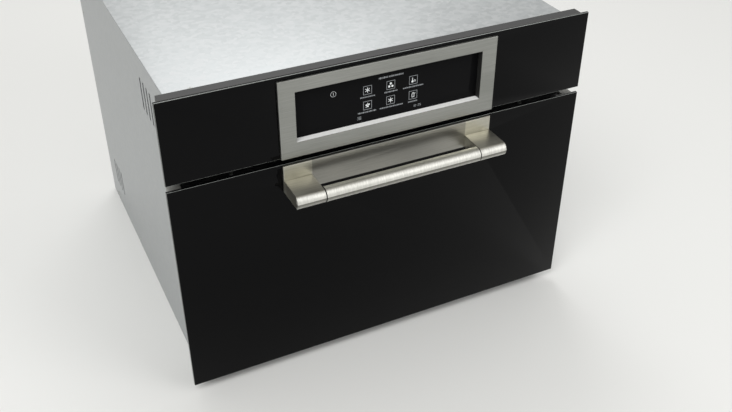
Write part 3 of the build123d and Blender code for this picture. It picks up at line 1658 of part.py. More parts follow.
# Wire rack that stands on the tray
rack_z = tray_top + rack_height
rack_wire = 2.0
rack_wires = 8
rack_pitch = 30.0
with BuildPart() as grill_rack:
    with BuildSketch(Plane.XY.offset(rack_z - 2)):
        with Locations((0, cavity_middle_y)):
            RegularPolygon(rack_radius + 2, 20)
            RegularPolygon(rack_radius - 2, 20, mode=Mode.SUBTRACT)
    extrude(amount=4)
    for wire in range(rack_wires):
        wire_x = (wire - (rack_wires - 1) / 2) * rack_pitch
        wire_half = sqrt(rack_radius**2 - wire_x**2)
        with BuildSketch(front_plane(cavity_middle_y - wire_half)):
            with Locations((wire_x, rack_z)):
                RegularPolygon(rack_wire / 2 + 0.2, 4)
        extrude(amount=-2 * wire_half)
    for leg in range(3):
        angle = radians(30 + 120 * leg)
        with BuildSketch(Plane.XY.offset(tray_top)):
            with Locations((rack_radius * cos(angle), cavity_middle_y + rack_radius * sin(angle))):
                RegularPolygon(2.5, 6)
        extrude(amount=rack_z - tray_top)
        with BuildSketch(Plane.XY.offset(tray_top)):
            with Locations((rack_radius * cos(angle), cavity_middle_y + rack_radius * sin(angle))):
                RegularPolygon(5, 8)
        extrude(amount=3)
save(grill_rack.part, "grill_rack")
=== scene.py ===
import math

import bmesh
import bpy
from mathutils import Matrix, Vector


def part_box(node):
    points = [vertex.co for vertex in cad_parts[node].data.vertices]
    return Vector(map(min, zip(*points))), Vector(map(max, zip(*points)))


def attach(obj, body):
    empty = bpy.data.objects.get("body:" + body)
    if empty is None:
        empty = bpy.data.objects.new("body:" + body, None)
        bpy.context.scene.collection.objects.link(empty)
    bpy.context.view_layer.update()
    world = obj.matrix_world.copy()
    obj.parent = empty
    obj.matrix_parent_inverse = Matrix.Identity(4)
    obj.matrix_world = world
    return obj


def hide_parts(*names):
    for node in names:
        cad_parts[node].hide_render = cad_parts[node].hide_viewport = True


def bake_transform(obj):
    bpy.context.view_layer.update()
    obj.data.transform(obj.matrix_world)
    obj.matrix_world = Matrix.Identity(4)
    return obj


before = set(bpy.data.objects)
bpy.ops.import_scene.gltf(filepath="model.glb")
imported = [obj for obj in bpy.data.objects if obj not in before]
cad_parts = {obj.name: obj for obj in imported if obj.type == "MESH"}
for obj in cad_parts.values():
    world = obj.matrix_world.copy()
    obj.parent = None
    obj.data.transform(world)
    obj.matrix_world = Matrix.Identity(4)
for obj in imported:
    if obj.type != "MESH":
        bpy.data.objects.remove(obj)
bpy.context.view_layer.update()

boxOf = {name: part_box(name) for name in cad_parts}
scene = bpy.context.scene
mm = 0.001
print("frame loaded:", len(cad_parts), "solids")


# small helpers

def hexColour(text):
    # sRGB hex to the linear values that shaders take
    channels = [int(text[i:i + 2], 16) / 255 for i in (1, 3, 5)]
    linear = [c / 12.92 if c <= 0.04045 else ((c + 0.055) / 1.055) ** 2.4 for c in channels]
    return (*linear, 1.0)


def setSockets(tree, node, sockets):
    # a socket takes a number or colour, another node's output, or a node, which gives its first output
    for key, value in sockets.items():
        if isinstance(value, bpy.types.Node):
            value = value.outputs[0]
        if isinstance(value, bpy.types.NodeSocket):
            tree.links.new(value, node.inputs[key])
        else:
            node.inputs[key].default_value = value


def addNode(tree, kind, sockets=None, stops=(), **settings):
    # one node with its settings and links; stops are a colour ramp's places, each with its hex colour
    node = tree.nodes.new(kind)
    for name, value in settings.items():
        setattr(node, name, value)
    setSockets(tree, node, sockets or {})
    if stops:
        band = node.color_ramp.elements
        while len(band) < len(stops):
            band.new(0.5)
        for element, (place, colour) in zip(band, stops):
            element.position, element.color = place, hexColour(colour)
    return node


def circlePoints(radius, steps, x=0.0, y=0.0):
    angles = [2 * math.pi * i / steps for i in range(steps)]
    return [(x + radius * math.cos(a), y + radius * math.sin(a)) for a in angles]


# materials: what all of them use

def newMaterial(name, values):
    # a Principled material whose plain values sit on the shader's own sockets, and its place on the object
    material = bpy.data.materials.new(name)
    material.use_nodes = True
    tree = material.node_tree
    shader = tree.nodes["Principled BSDF"]
    setSockets(tree, shader, values)
    return material, tree, shader, addNode(tree, "ShaderNodeTexCoord").outputs["Object"]


def spots(tree, place, pitch, stretch=(1, 1, 1), detail=2.0):
    # noise with features about pitch millimetres across, longer along an axis where stretch is above 1
    scaled = addNode(tree, "ShaderNodeMapping", {
        "Vector": place, "Scale": tuple(1 / (pitch * mm * s) for s in stretch)})
    return addNode(tree, "ShaderNodeTexNoise", {
        "Vector": scaled, "Scale": 1.0, "Detail": detail}).outputs["Fac"]


def layPattern(tree, shader, pattern, tones=(), rough=None, bump=None):
    # a pattern gives the base colour, the roughness between two values, or relief (strength, millimetres)
    if tones:
        setSockets(tree, shader, {"Base Color": addNode(tree, "ShaderNodeValToRGB", {"Fac": pattern}, tones)})
    if rough:
        setSockets(tree, shader, {"Roughness": addNode(tree, "ShaderNodeMapRange", {
            "Value": pattern, "To Min": rough[0], "To Max": rough[1]})})
    if bump:
        setSockets(tree, shader, {"Normal": addNode(tree, "ShaderNodeBump", {
            "Height": pattern, "Strength": bump[0], "Distance": bump[1] * mm})})


# materials: one function for each kind of finish

def brushedStainless(name, tones, rough, paintedReflectionEnds=None):
    # stainless steel brushed with a belt: long level scratches, soft broad reflections.
    # Real scratches are about 0.1 mm apart; these are 0.7 mm, as fine as the render shows.
    material, tree, shader, place = newMaterial(name, {"Metallic": 1.0, "Anisotropic": 0.4})
    scratches = spots(tree, place, 0.7, (60, 1, 1), 3.0)
    clouds = spots(tree, place, 70, (1.5, 1, 1), 1.0)
    mixed = addNode(tree, "ShaderNodeMath", {0: scratches, 1: clouds, 2: 0.25}, operation="MULTIPLY_ADD")
    levels = (0.3, 0.5, 0.72)
    tone = addNode(tree, "ShaderNodeValToRGB", {"Fac": mixed}, list(zip(levels, tones))).outputs[0]
    if paintedReflectionEnds:
        # beyond this distance from the middle the sheet carries a painted reflection: brighter, with a sharp
        # border
        start, reflectionTones = paintedReflectionEnds
        across = addNode(tree, "ShaderNodeSeparateXYZ", {"Vector": place})
        reach = addNode(tree, "ShaderNodeMath", {0: across}, operation="ABSOLUTE")
        beyond = addNode(tree, "ShaderNodeMath", {0: reach, 1: start * mm}, operation="GREATER_THAN")
        reflectionTone = addNode(tree, "ShaderNodeValToRGB", {"Fac": mixed}, list(zip(levels, reflectionTones)))
        tone = addNode(tree, "ShaderNodeMix", {0: beyond, 6: tone, 7: reflectionTone}, data_type="RGBA").outputs[2]
    setSockets(tree, shader, {"Base Color": tone})
    layPattern(tree, shader, scratches, rough=(rough - 0.07, rough + 0.08), bump=(0.12, 0.02))
    return material


def paintedLightAlong(tree, value, stops):
    # painted light and shade along an axis, each tone at its place in millimetres
    first, last = stops[0][0], stops[-1][0]
    span = addNode(tree, "ShaderNodeMapRange", {
        "Value": value, "From Min": first * mm, "From Max": last * mm})
    shares = [((place - first) / (last - first), tone) for place, tone in stops]
    return addNode(tree, "ShaderNodeValToRGB", {"Fac": span}, shares)


def linishedHandle(name, paintedLightByDepth, paintedLightByHeight, nose, rough):
    # bar section brushed lengthwise on its flats; a band round its nose is linished across. Its tones are
    # painted light and shade: lighter and darker by depth on the flats, and by height round the nose, where a
    # painted highlight band lies between painted shade.
    # The linishing scratches are 0.15 mm apart on the real bar and 0.9 mm here, so that they show.
    material, tree, shader, place = newMaterial(name, {"Metallic": 1.0, "Anisotropic": 0.3})
    axes = addNode(tree, "ShaderNodeSeparateXYZ", {"Vector": place}).outputs
    onNose = addNode(tree, "ShaderNodeMapRange", {
        "Value": axes["Y"], "From Min": nose[0] * mm, "From Max": nose[1] * mm},
        interpolation_type="SMOOTHSTEP")
    tone = addNode(tree, "ShaderNodeMix", {
        0: onNose, 6: paintedLightAlong(tree, axes["Y"], paintedLightByDepth), 7: paintedLightAlong(tree, axes["Z"], paintedLightByHeight)},
        data_type="RGBA").outputs[2]
    along, across = spots(tree, place, 0.7, (60, 1, 1), 3.0), spots(tree, place, 0.9, (1, 6, 30), 3.0)
    scratches = addNode(tree, "ShaderNodeMix", {0: onNose, 2: along, 3: across}, data_type="FLOAT")
    shade = addNode(tree, "ShaderNodeValToRGB", {"Fac": scratches}, [(0.3, "#DEDEDE"), (0.7, "#FFFFFF")])
    whole = addNode(tree, "ShaderNodeMix", {0: 1.0, 6: tone, 7: shade}, data_type="RGBA",
                    blend_type="MULTIPLY")
    setSockets(tree, shader, {"Base Color": whole.outputs[2]})
    layPattern(tree, shader, onNose, rough=(rough, rough + 0.1))
    layPattern(tree, shader, scratches, bump=(0.2, 0.02))
    return material


def beadBlasted(name, light, dark):
    # metal blasted with glass beads: matt grain that scatters light like paper; the near white it is given is
    # a painted highlight, bright from every side.
    # The real grain is about 0.1 mm; here it is 0.8 mm, so that it shows.
    material, tree, shader, place = newMaterial(name, {"Metallic": 0.0, "Roughness": 0.45})
    layPattern(tree, shader, spots(tree, place, 0.8), [(0.3, dark), (0.7, light)], bump=(0.1, 0.02))
    return material


def enamelledGlass(name, base, ior, rough, wipe):
    # float glass with black enamel fired on its back: deep black, mirror-like, faint wipe marks in the gloss.
    # The IOR is below glass's own 1.5, so that it mirrors the pale room as little as the photographed front.
    material, tree, shader, place = newMaterial(name, {"Base Color": hexColour(base), "IOR": ior})
    wiped = spots(tree, place, 90, (2.2, 1, 0.8), 4.0)
    fine = spots(tree, place, 1.5, detail=1.0)
    both = addNode(tree, "ShaderNodeMath", {0: wiped, 1: fine}, operation="MULTIPLY")
    layPattern(tree, shader, both, rough=(rough, rough + 2 * wipe))
    return material


def clearGlass(name, tint, rough):
    # soda-lime or borosilicate glass: clear, slightly green at its edges
    material, tree, shader, place = newMaterial(name, {
        "Base Color": hexColour(tint), "IOR": 1.5, "Transmission Weight": 1.0})
    layPattern(tree, shader, spots(tree, place, 40, detail=3.0), rough=(rough, rough + 0.05))
    return material


def zincSheet(name, tones, pitch):
    # hot-dip galvanised steel sheet: pale grey with faint crystal spangle, 5 to 10 mm across
    material, tree, shader, place = newMaterial(name, {"Metallic": 0.85})
    cells = addNode(tree, "ShaderNodeTexVoronoi", {"Vector": place, "Scale": 1 / (pitch * mm)})
    grey = addNode(tree, "ShaderNodeSeparateColor", {"Color": cells.outputs["Color"]})
    layPattern(tree, shader, grey, list(zip((0.0, 0.5, 1.0), tones)), rough=(0.38, 0.46))
    layPattern(tree, shader, spots(tree, place, 0.8), bump=(0.1, 0.02))
    return material


def paintedSheet(name, base, rough, pitch):
    # powder coat with a fine orange peel
    material, tree, shader, place = newMaterial(name, {"Base Color": hexColour(base)})
    layPattern(tree, shader, spots(tree, place, pitch), rough=(rough - 0.06, rough + 0.08), bump=(0.2, 0.03))
    return material


def cavityEnamel(name, ground, speck):
    # vitreous enamel fired on steel: dark grey, glossy, with pale specks under 1 mm, about 2.6 mm apart
    material, tree, shader, place = newMaterial(name, {
        "Roughness": 0.16, "Coat Weight": 0.4, "Coat Roughness": 0.06})
    specks = addNode(tree, "ShaderNodeTexVoronoi", {"Vector": place, "Scale": 1 / (2.6 * mm)})
    layPattern(tree, shader, specks.outputs["Distance"], [(0.1, speck), (0.2, ground[0]), (1.0, ground[1])])
    layPattern(tree, shader, spots(tree, place, 7, detail=1.0), bump=(0.08, 0.05))
    return material


def stampedSteel(name, light, dark, rough):
    # bright metal as it leaves the press or the drawing die: streaks and a faint oil film.
    # Real drawing streaks are about 0.2 mm apart; these are 2 mm, so that they show.
    material, tree, shader, place = newMaterial(name, {"Metallic": 1.0})
    layPattern(tree, shader, spots(tree, place, 2.0, (1, 6, 1), 3.0), [(0.35, dark), (0.65, light)],
               rough=(rough - 0.08, rough + 0.1))
    return material


def moulded(name, light, dark, rough, pitch=1.2):
    # injection-moulded part with a spark-eroded grain, about 0.2 mm on the real one and coarser here to show
    material, tree, shader, place = newMaterial(name, {"Roughness": rough})
    layPattern(tree, shader, spots(tree, place, pitch), [(0.3, dark), (0.7, light)], bump=(0.15, 0.02))
    return material


def circuitBoard(name, boardFace):
    # epoxy board under green solder mask with 1 mm tracks in steps of 4 and 8 mm; what stands above its face
    # is grey and black, in blocks of about 22 mm
    material, tree, shader, place = newMaterial(name, {"Roughness": 0.38})
    height = addNode(tree, "ShaderNodeSeparateXYZ", {"Vector": place}).outputs["Z"]
    above = addNode(tree, "ShaderNodeMath", {0: height, 1: boardFace * mm}, operation="GREATER_THAN")
    tracks = addNode(tree, "ShaderNodeTexBrick", {
        "Vector": place, "Scale": 60.0, "Mortar Size": 0.06, "Color1": hexColour("#1D5A38"),
        "Color2": hexColour("#1A5334"), "Mortar": hexColour("#3E8A57")})
    blocks = addNode(tree, "ShaderNodeTexVoronoi", {"Vector": place, "Scale": 45.0})
    grey = addNode(tree, "ShaderNodeSeparateColor", {"Color": blocks.outputs["Color"]})
    parts = addNode(tree, "ShaderNodeValToRGB", {"Fac": grey}, [
        (0.2, "#26282A"), (0.55, "#4A4C4E"), (0.9, "#8A8B88")])
    tone = addNode(tree, "ShaderNodeMix", {0: above, 6: tracks, 7: parts}, data_type="RGBA")
    setSockets(tree, shader, {"Base Color": tone.outputs[2]})
    return material


def mineralWool(name, light, dark):
    # pressed mineral fibre: straw yellow, soft and matt, in tangled tufts of about 3 mm
    material, tree, shader, place = newMaterial(name, {"Roughness": 0.95, "Sheen Weight": 0.2})
    layPattern(tree, shader, spots(tree, place, 3.0, (4, 1, 1), 6.0), [(0.3, dark), (0.7, light)],
               bump=(0.8, 1.5))
    return material


def displayInk(name, light, dark):
    # lit marks of a display seen through its touch glass: cold white, slightly uneven from pixel to pixel
    material, tree, shader, place = newMaterial(name, {"Roughness": 0.5, "Emission Strength": 0.25})
    tone = addNode(tree, "ShaderNodeValToRGB", {"Fac": spots(tree, place, 1.2, detail=1.0)}, [
        (0.35, dark), (0.65, light)])
    setSockets(tree, shader, {"Base Color": tone, "Emission Color": tone})
    return material


# heights and depths of the handle's painted light and shade in millimetres: a painted highlight round the
# nose between painted shade, and flats lighter towards the door; with the band of its nose where they change
# over
handleNose = dict(nose=(-302.5, -303.3), rough=0.42, paintedLightByHeight=[
    (294.5, "#F2F1EB"), (298.0, "#E2E1DB"), (300.5, "#A3A29C"), (303.2, "#7E7D77"), (304.3, "#E4E3DD"),
    (311.0, "#D2D1CB"), (312.6, "#9C9A92")])
armSteel = linishedHandle("satinStainlessArm", [(-301, "#A3A096"), (-294, "#B0ADA2"), (-268, "#CCC9BC")],
                          **handleNose)
barSteel = linishedHandle("satinStainlessBar", [(-302, "#A8A69D"), (-298, "#EFEDE1"), (-294, "#F4F2E6")],
                          **handleNose)
bezelSteel = brushedStainless("brushedStainlessBezel", ("#7F807C", "#8F908C", "#9B9B97"), 0.36)
# the plate's ends, 112 mm out from the middle, carry a painted reflection of the handle arms' tops
plateSteel = brushedStainless("brushedStainlessPlate", ("#7B7A75", "#8A8983", "#98968F"), 0.34,
                              paintedReflectionEnds=(112, ("#9C9A8F", "#AFADA2", "#BFBDB2")))
# the display's ledge is near white: a painted highlight
ledgeHighlight = beadBlasted("paintedHighlightLedge", "#FFFFFE", "#F8F8F6")
paneGlass = enamelledGlass("enamelledFloatGlass", "#040405", ior=1.18, rough=0.03, wipe=0.05)
touchGlass = enamelledGlass("displayTouchGlass", "#111112", ior=1.1, rough=0.08, wipe=0.04)
# the display window's inner walls are dark grey: painted shade in the recess
windowWallShade = moulded("paintedShadeWindowWall", "#2C2C2B", "#232322", 0.4)
# the panes' ground edges are light grey metal: partly their own grey, partly a painted highlight along them
glassEdgeHighlight = stampedSteel("groundGlassEdgeHighlight", "#8A8D8B", "#7A7D7B", 0.35)
innerGlass = clearGlass("temperedClearGlass", "#F1F6F3", 0.0)
trayGlass = clearGlass("borosilicateTray", "#F4F8F6", 0.02)
zinc = zincSheet("galvanisedSteelSheet", ("#A3A6A7", "#AAADAE", "#B1B3B4"), pitch=6)
blackPaint = paintedSheet("blackPowderCoat", "#101011", rough=0.45, pitch=1.4)
blackAbs = moulded("blackAbs", "#19191A", "#131314", 0.5)
enamel = cavityEnamel("vitreousEnamelGrey", ("#3A3D41", "#34373B"), "#8D9196")
pressedSteel = stampedSteel("pressedMildSteel", "#A2A3A3", "#7E8080", 0.34)
heaterSteel = stampedSteel("oxidisedHeaterTube", "#5E5955", "#3B3835", 0.4)
chromeWire = stampedSteel("chromePlatedWire", "#DCDDDE", "#C5C7C9", 0.3)
aluminiumSheet = stampedSteel("bareAluminium", "#C3C5C6", "#A5A7A9", 0.3)
laminations = stampedSteel("laminatedMotorStack", "#77716B", "#55504C", 0.45)
screwZinc = stampedSteel("zincPlatedScrew", "#C6C8C4", "#A9ABA7", 0.28)
nylon = moulded("naturalNylon", "#E2DFD3", "#D6D2C4", 0.45)
silicone = moulded("greySilicone", "#6E7072", "#626466", 0.6)
# the door's end caps are mid grey, darkened as painted shade of the gap they sit in
capPlasticShaded = moulded("greyNylonCapShaded", "#7D7D79", "#70706C", 0.5)
switchPlastic = moulded("blackPhenolic", "#232324", "#1A1A1B", 0.5)
ceramic = moulded("lampCeramic", "#E9E6DD", "#DCD8CC", 0.6)
mica = moulded("pressedMica", "#A3977E", "#8B8069", 0.4, pitch=3.0)
wool = mineralWool("mineralWoolBoard", "#CDBF8C", "#8E8154")
# the boards' faces, in millimetres over the foot of their nodes; the upright control board shows no parts
powerLook = circuitBoard("powerBoardEpoxy", boxOf["power_board"][0].z / mm + 9.8)
inverterLook = circuitBoard("inverterBoardEpoxy", boxOf["inverter_unit"][0].z / mm + 11.8)
controlLook = circuitBoard("controlBoardEpoxy", 1000.0)
displayLight = displayInk("litDisplayMarks", "#D6D9DA", "#BFC2C4")
displayDim = displayInk("dimDisplayMarks", "#8C8F92", "#707376")

dressing = {
    bezelSteel: ["display_bezel"],
    plateSteel: ["handle_plate"],
    armSteel: ["handle_arms"],
    barSteel: ["handle_bar"],
    paneGlass: ["door_outer_glass", "fascia_glass"],
    touchGlass: ["display_glass"],
    innerGlass: ["door_inner_glass", "lamp_lens"],
    trayGlass: ["turntable"],
    zinc: ["base_tray", "outer_casing", "rear_panel", "upper_deck", "fixing_strips", "blower_housing"],
    blackPaint: ["lower_trim", "door_frame", "choke_frame"],
    blackAbs: ["fascia_carrier", "air_duct", "choke_cover"],
    enamel: ["front_flange", "cavity_liner", "cavity_base", "cavity_rear", "fan_baffle"],
    pressedSteel: ["hinge_bodies", "hinge_arms", "hinge_springs", "left_pull_rod", "right_pull_rod",
                   "handle_screws", "magnetron"],
    heaterSteel: ["grill_element", "ring_heater"],
    chromeWire: ["grill_rack"],
    aluminiumSheet: ["convection_fan", "blower_rotor", "waveguide"],
    laminations: ["convection_motor", "blower_motor", "turntable_motor"],
    nylon: ["interlock_tongues", "left_interlock_plunger", "right_interlock_plunger", "drive_coupler",
            "roller_ring", "roller_1", "roller_2", "roller_3"],
    capPlasticShaded: ["door_end_caps"],
    switchPlastic: ["interlock_switches", "terminal_block"],
    ceramic: ["oven_lamp"],
    mica: ["waveguide_cover"],
    wool: ["cavity_insulation"],
    powerLook: ["power_board"],
    inverterLook: ["inverter_unit"],
    controlLook: ["control_board"],
}
for material, names in dressing.items():
    for name in names:
        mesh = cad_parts[name].data
        mesh.materials.clear()
        mesh.materials.append(material)
dressed = {name for names in dressing.values() for name in names}
print("materials set; solids without one:", sorted(set(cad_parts) - dressed))


# pieces: what all of them use

def meshFrom(work, name):
    # the finished bmesh as a mesh
    mesh = bpy.data.meshes.new(name)
    work.to_mesh(mesh)
    work.free()
    return mesh


def smoothAll(mesh):
    mesh.polygons.foreach_set("use_smooth", [True] * len(mesh.polygons))


def makePiece(name, mesh, body, material=None, stands=(), crease=30):
    # a plain mesh becomes a piece of the object, smooth but for its creases, riding on its body
    if material:
        mesh.materials.clear()
        mesh.materials.append(material)
    smoothAll(mesh)
    mesh.set_sharp_from_angle(angle=math.radians(crease))
    obj = bpy.data.objects.new(name, mesh)
    scene.collection.objects.link(obj)
    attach(obj, body)
    if stands:
        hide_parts(*stands)


def wireMesh(name, runs):
    # lines through points in millimetres; a run that ends where it began is closed
    points, edges = [], []
    for run in runs:
        closed = run[0] == run[-1]
        kept = run[:-1] if closed else run
        first = len(points)
        points += [tuple(c * mm for c in p) for p in kept]
        edges += [(first + i, first + i + 1) for i in range(len(kept) - 1)]
        if closed:
            edges.append((first + len(kept) - 1, first))
    mesh = bpy.data.meshes.new(name)
    mesh.from_pydata(points, edges, [])
    return mesh


def joined(name, meshes):
    # several meshes of one piece as one mesh
    work = bmesh.new()
    for mesh in meshes:
        work.from_mesh(mesh)
    return meshFrom(work, name)


def addRings(work, outline, steps, closed=False):
    # the skin of a form turned on Z, and its rings of points; outline is (radius, height) in millimetres,
    # anticlockwise with the axis at its left
    rings = []
    for radius, height in outline:
        if radius == 0:
            rings.append([work.verts.new((0, 0, height * mm))] * steps)
        else:
            rings.append([work.verts.new((x, y, height * mm)) for x, y in circlePoints(radius * mm, steps)])
    for low, high in list(zip(rings, rings[1:])) + ([(rings[-1], rings[0])] if closed else []):
        for i in range(steps):
            j = (i + 1) % steps
            work.faces.new(list(dict.fromkeys((low[i], low[j], high[j], high[i]))))
    return rings


def turned(name, outline, steps, centre, along=(0, 0, 1), closed=False):
    # a form turned on an axis through centre, in millimetres
    work = bmesh.new()
    addRings(work, outline, steps, closed)
    turn = Vector((0, 0, 1)).rotation_difference(Vector(along)).to_matrix().to_4x4()
    work.transform(Matrix.Translation(Vector(centre) * mm) @ turn)
    return meshFrom(work, name)


def roundedLoop(corners, radius, steps=3):
    # a closed outline with each corner rounded, all corners given anticlockwise
    outline = []
    for before, corner, after in zip(corners[-1:] + corners[:-1], corners, corners[1:] + corners[:1]):
        corner = Vector(corner)
        toBefore, toAfter = Vector(before) - corner, Vector(after) - corner
        reach = min(radius, toBefore.length / 2, toAfter.length / 2)
        first, last = corner + toBefore.normalized() * reach, corner + toAfter.normalized() * reach
        for i in range(steps + 1):
            t = i / steps
            outline.append(tuple(first * (1 - t) ** 2 + corner * 2 * t * (1 - t) + last * t ** 2))
    return outline


def bevelledBlocks(name, blocks, width, segments=2):
    # straight blocks with broken edges; each is its lowest and its highest corner in millimetres
    work = bmesh.new()
    for low, high in blocks:
        size = Matrix.Diagonal((*(Vector(high) - Vector(low)) * mm, 1))
        middle = (Vector(high) + Vector(low)) / 2 * mm
        bmesh.ops.create_cube(work, size=1.0, matrix=Matrix.Translation(middle) @ size)
    bmesh.ops.bevel(work, geom=work.edges[:], offset=width * mm, segments=segments, profile=0.5,
                    affect="EDGES", clamp_overlap=True)
    return meshFrom(work, name)


softening = {"merged": 0.001, "flat": 1, "sharp": 32, "crease": 25}  # millimetres, then degrees


def softened(node, width, material, body, slotName, segments=3, others=(), trims=(), chosen=None):
    # the solid's own form with its edges broken by a small radius, so that they catch light;
    # others are further finishes, each with the test that picks its faces, chosen picks the edges,
    # and trims are (axis, from, to, shift) in millimetres
    work = bmesh.new()
    work.from_mesh(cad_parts[node].data)
    bmesh.ops.remove_doubles(work, verts=work.verts, dist=softening["merged"] * mm)
    bmesh.ops.dissolve_limit(work, angle_limit=math.radians(softening["flat"]), verts=work.verts,
                             edges=work.edges)
    for axis, low, high, shift in trims:
        for vert in work.verts:
            if low * mm < vert.co[axis] < high * mm:
                vert.co[axis] += shift * mm
    work.normal_update()
    least = math.radians(softening["sharp"])
    sharp = [edge for edge in work.edges if len(edge.link_faces) == 2 and edge.calc_face_angle(0) > least]
    if chosen:
        sharp = [edge for edge in sharp if all(chosen(vert.co / mm) for vert in edge.verts)]
    bmesh.ops.bevel(work, geom=sharp, offset=width * mm, segments=segments, profile=0.5, affect="EDGES",
                    clamp_overlap=True)
    work.normal_update()
    for face in work.faces:
        face.material_index = 0
        for number, (finish, picked) in enumerate(others, 1):
            if picked(face.normal, face.calc_center_median() / mm):
                face.material_index = number
    mesh = meshFrom(work, node + "_softened")
    for finish in (material, *(finish for finish, picked in others)):
        mesh.materials.append(finish)
    makePiece(node + "_softened", mesh, body, stands=(node,), crease=softening["crease"])


# geometry trees for what repeats or follows a path

def geometryTree(name, **inputs):
    # a tree with named inputs, each with its kind of socket, and the sockets that carry them
    tree = bpy.data.node_groups.new(name, "GeometryNodeTree")
    tree.interface.new_socket("Geometry", in_out="INPUT", socket_type="NodeSocketGeometry")
    for label, kind in inputs.items():
        tree.interface.new_socket(label, in_out="INPUT", socket_type="NodeSocket" + kind)
    tree.interface.new_socket("Geometry", in_out="OUTPUT", socket_type="NodeSocketGeometry")
    return tree, addNode(tree, "NodeGroupInput").outputs


def closeTree(tree, geometry, finish):
    whole = addNode(tree, "GeometryNodeRealizeInstances", {"Geometry": geometry})
    dressedMesh = addNode(tree, "GeometryNodeSetMaterial", {"Geometry": whole, "Material": finish})
    addNode(tree, "NodeGroupOutput", {"Geometry": dressedMesh})
    return tree


def tubeTree():
    # a round tube along the start mesh's lines, its corners bent to one radius
    tree, given = geometryTree("tubeAlongLines", Radius="Float", Bend="Float", Sides="Int", Steps="Int",
                               Finish="Material")
    path = addNode(tree, "GeometryNodeMeshToCurve", {"Mesh": given["Geometry"]})
    bent = addNode(tree, "GeometryNodeFilletCurve", {
        "Curve": path, "Count": given["Steps"], "Radius": given["Bend"]}, mode="POLY")
    section = addNode(tree, "GeometryNodeCurvePrimitiveCircle", {
        "Resolution": given["Sides"], "Radius": given["Radius"]})
    tube = addNode(tree, "GeometryNodeCurveToMesh", {
        "Curve": bent, "Profile Curve": section, "Fill Caps": True})
    return closeTree(tree, tube, given["Finish"])


def coilTree():
    # a wound spring that starts at a point and runs along +Y
    tree, given = geometryTree("woundSpring", Wire="Float", Coil="Float", Length="Float", Turns="Float",
                               Start="Vector", Finish="Material")
    path = addNode(tree, "GeometryNodeCurveSpiral", {
        "Resolution": 12, "Rotations": given["Turns"], "Start Radius": given["Coil"],
        "End Radius": given["Coil"], "Height": given["Length"]})
    section = addNode(tree, "GeometryNodeCurvePrimitiveCircle", {"Resolution": 6, "Radius": given["Wire"]})
    wound = addNode(tree, "GeometryNodeCurveToMesh", {
        "Curve": path, "Profile Curve": section, "Fill Caps": True})
    placed = addNode(tree, "GeometryNodeTransform", {
        "Geometry": wound, "Translation": given["Start"], "Rotation": (-math.pi / 2, 0, 0)})
    return closeTree(tree, placed, given["Finish"])


def rowTree():
    # one part repeated in a straight row
    tree, given = geometryTree("partInARow", Part="Object", Count="Int", Start="Vector", Step="Vector",
                               Turn="Vector", Finish="Material")
    places = addNode(tree, "GeometryNodeMeshLine", {
        "Count": given["Count"], "Start Location": given["Start"], "Offset": given["Step"]}, mode="OFFSET")
    part = addNode(tree, "GeometryNodeObjectInfo", {"Object": given["Part"]})
    copies = addNode(tree, "GeometryNodeInstanceOnPoints", {
        "Points": places, "Instance": part.outputs["Geometry"], "Rotation": given["Turn"]})
    return closeTree(tree, copies, given["Finish"])


def sheetTree():
    # one cell repeated over an upright sheet, its edges merged
    tree, given = geometryTree("perforatedSheet", Cell="Object", Columns="Int", Rows="Int", Width="Float",
                               Height="Float", Middle="Vector", Finish="Material")
    grid = addNode(tree, "GeometryNodeMeshGrid", {
        "Size X": given["Width"], "Size Y": given["Height"], "Vertices X": given["Columns"],
        "Vertices Y": given["Rows"]})
    cell = addNode(tree, "GeometryNodeObjectInfo", {"Object": given["Cell"]})
    copies = addNode(tree, "GeometryNodeInstanceOnPoints", {
        "Points": grid, "Instance": cell.outputs["Geometry"]})
    real = addNode(tree, "GeometryNodeRealizeInstances", {"Geometry": copies})
    merged = addNode(tree, "GeometryNodeMergeByDistance", {
        "Geometry": real, "Distance": 0.01 * mm})
    placed = addNode(tree, "GeometryNodeTransform", {
        "Geometry": merged, "Translation": given["Middle"], "Rotation": (math.pi / 2, 0, 0)})
    return closeTree(tree, placed, given["Finish"])


def patternPart(mesh):
    # a mesh as an object for a tree or a cut, taken away again once that has run
    obj = bpy.data.objects.new("patternPart", mesh)
    scene.collection.objects.link(obj)
    return obj


def evaluatedMesh(obj):
    return bpy.data.meshes.new_from_object(obj.evaluated_get(bpy.context.evaluated_depsgraph_get()))


def grown(tree, start=None, **values):
    # the tree's result as one plain mesh; values are set by each socket's identifier before it is evaluated
    holder = patternPart(start or bpy.data.meshes.new("empty"))
    modifier = holder.modifiers.new("grow", "NODES")
    modifier.node_group = tree
    for item in tree.interface.items_tree:
        if item.in_out == "INPUT" and item.name in values:
            modifier[item.identifier] = values[item.name]
    mesh = evaluatedMesh(holder)
    holder.modifiers.remove(modifier)
    bpy.data.objects.remove(holder)
    return mesh


tubes, coils, rows, sheets = tubeTree(), coilTree(), rowTree(), sheetTree()


# front: panes, display frame and handle

displayWindow = {
    "side": 131,  # inside the frame's opening, from the middle
    "low": 364,
    "high": 434,
    "ledgeTop": 365,
    "ledgeFront": -262.7,
    "wall": (-262.5, -253.2),
}


# the tests that pick faces get a face's normal and its middle in millimetres

def paneEdge(normal, centre):
    # the ground bevel between a pane's face and its sides, 14 to 78 degrees off its face
    return -0.97 < normal.y < -0.2


def displayLedge(normal, centre):
    onTop = displayWindow["low"] < centre.z < displayWindow["ledgeTop"] and normal.z > 0.9
    return onTop and centre.y > displayWindow["ledgeFront"]


def displayWall(normal, centre):
    front, back = displayWindow["wall"]
    inside = abs(centre.x) < displayWindow["side"] and displayWindow["low"] < centre.z < displayWindow["high"]
    return inside and front < centre.y < back and abs(normal.y) < 0.5


# the bar's end faces, which take black plastic as painted shade in the gaps beside the arms
def barEndInShade(normal, centre):
    return abs(normal.x) > 0.5


def casingFold(point):
    # on one of the two long folds between the wrapper's top and its sides
    high, near = boxOf["outer_casing"][1] / mm, 0.1
    return abs(point.x) > high.x - near and point.z > high.z - near


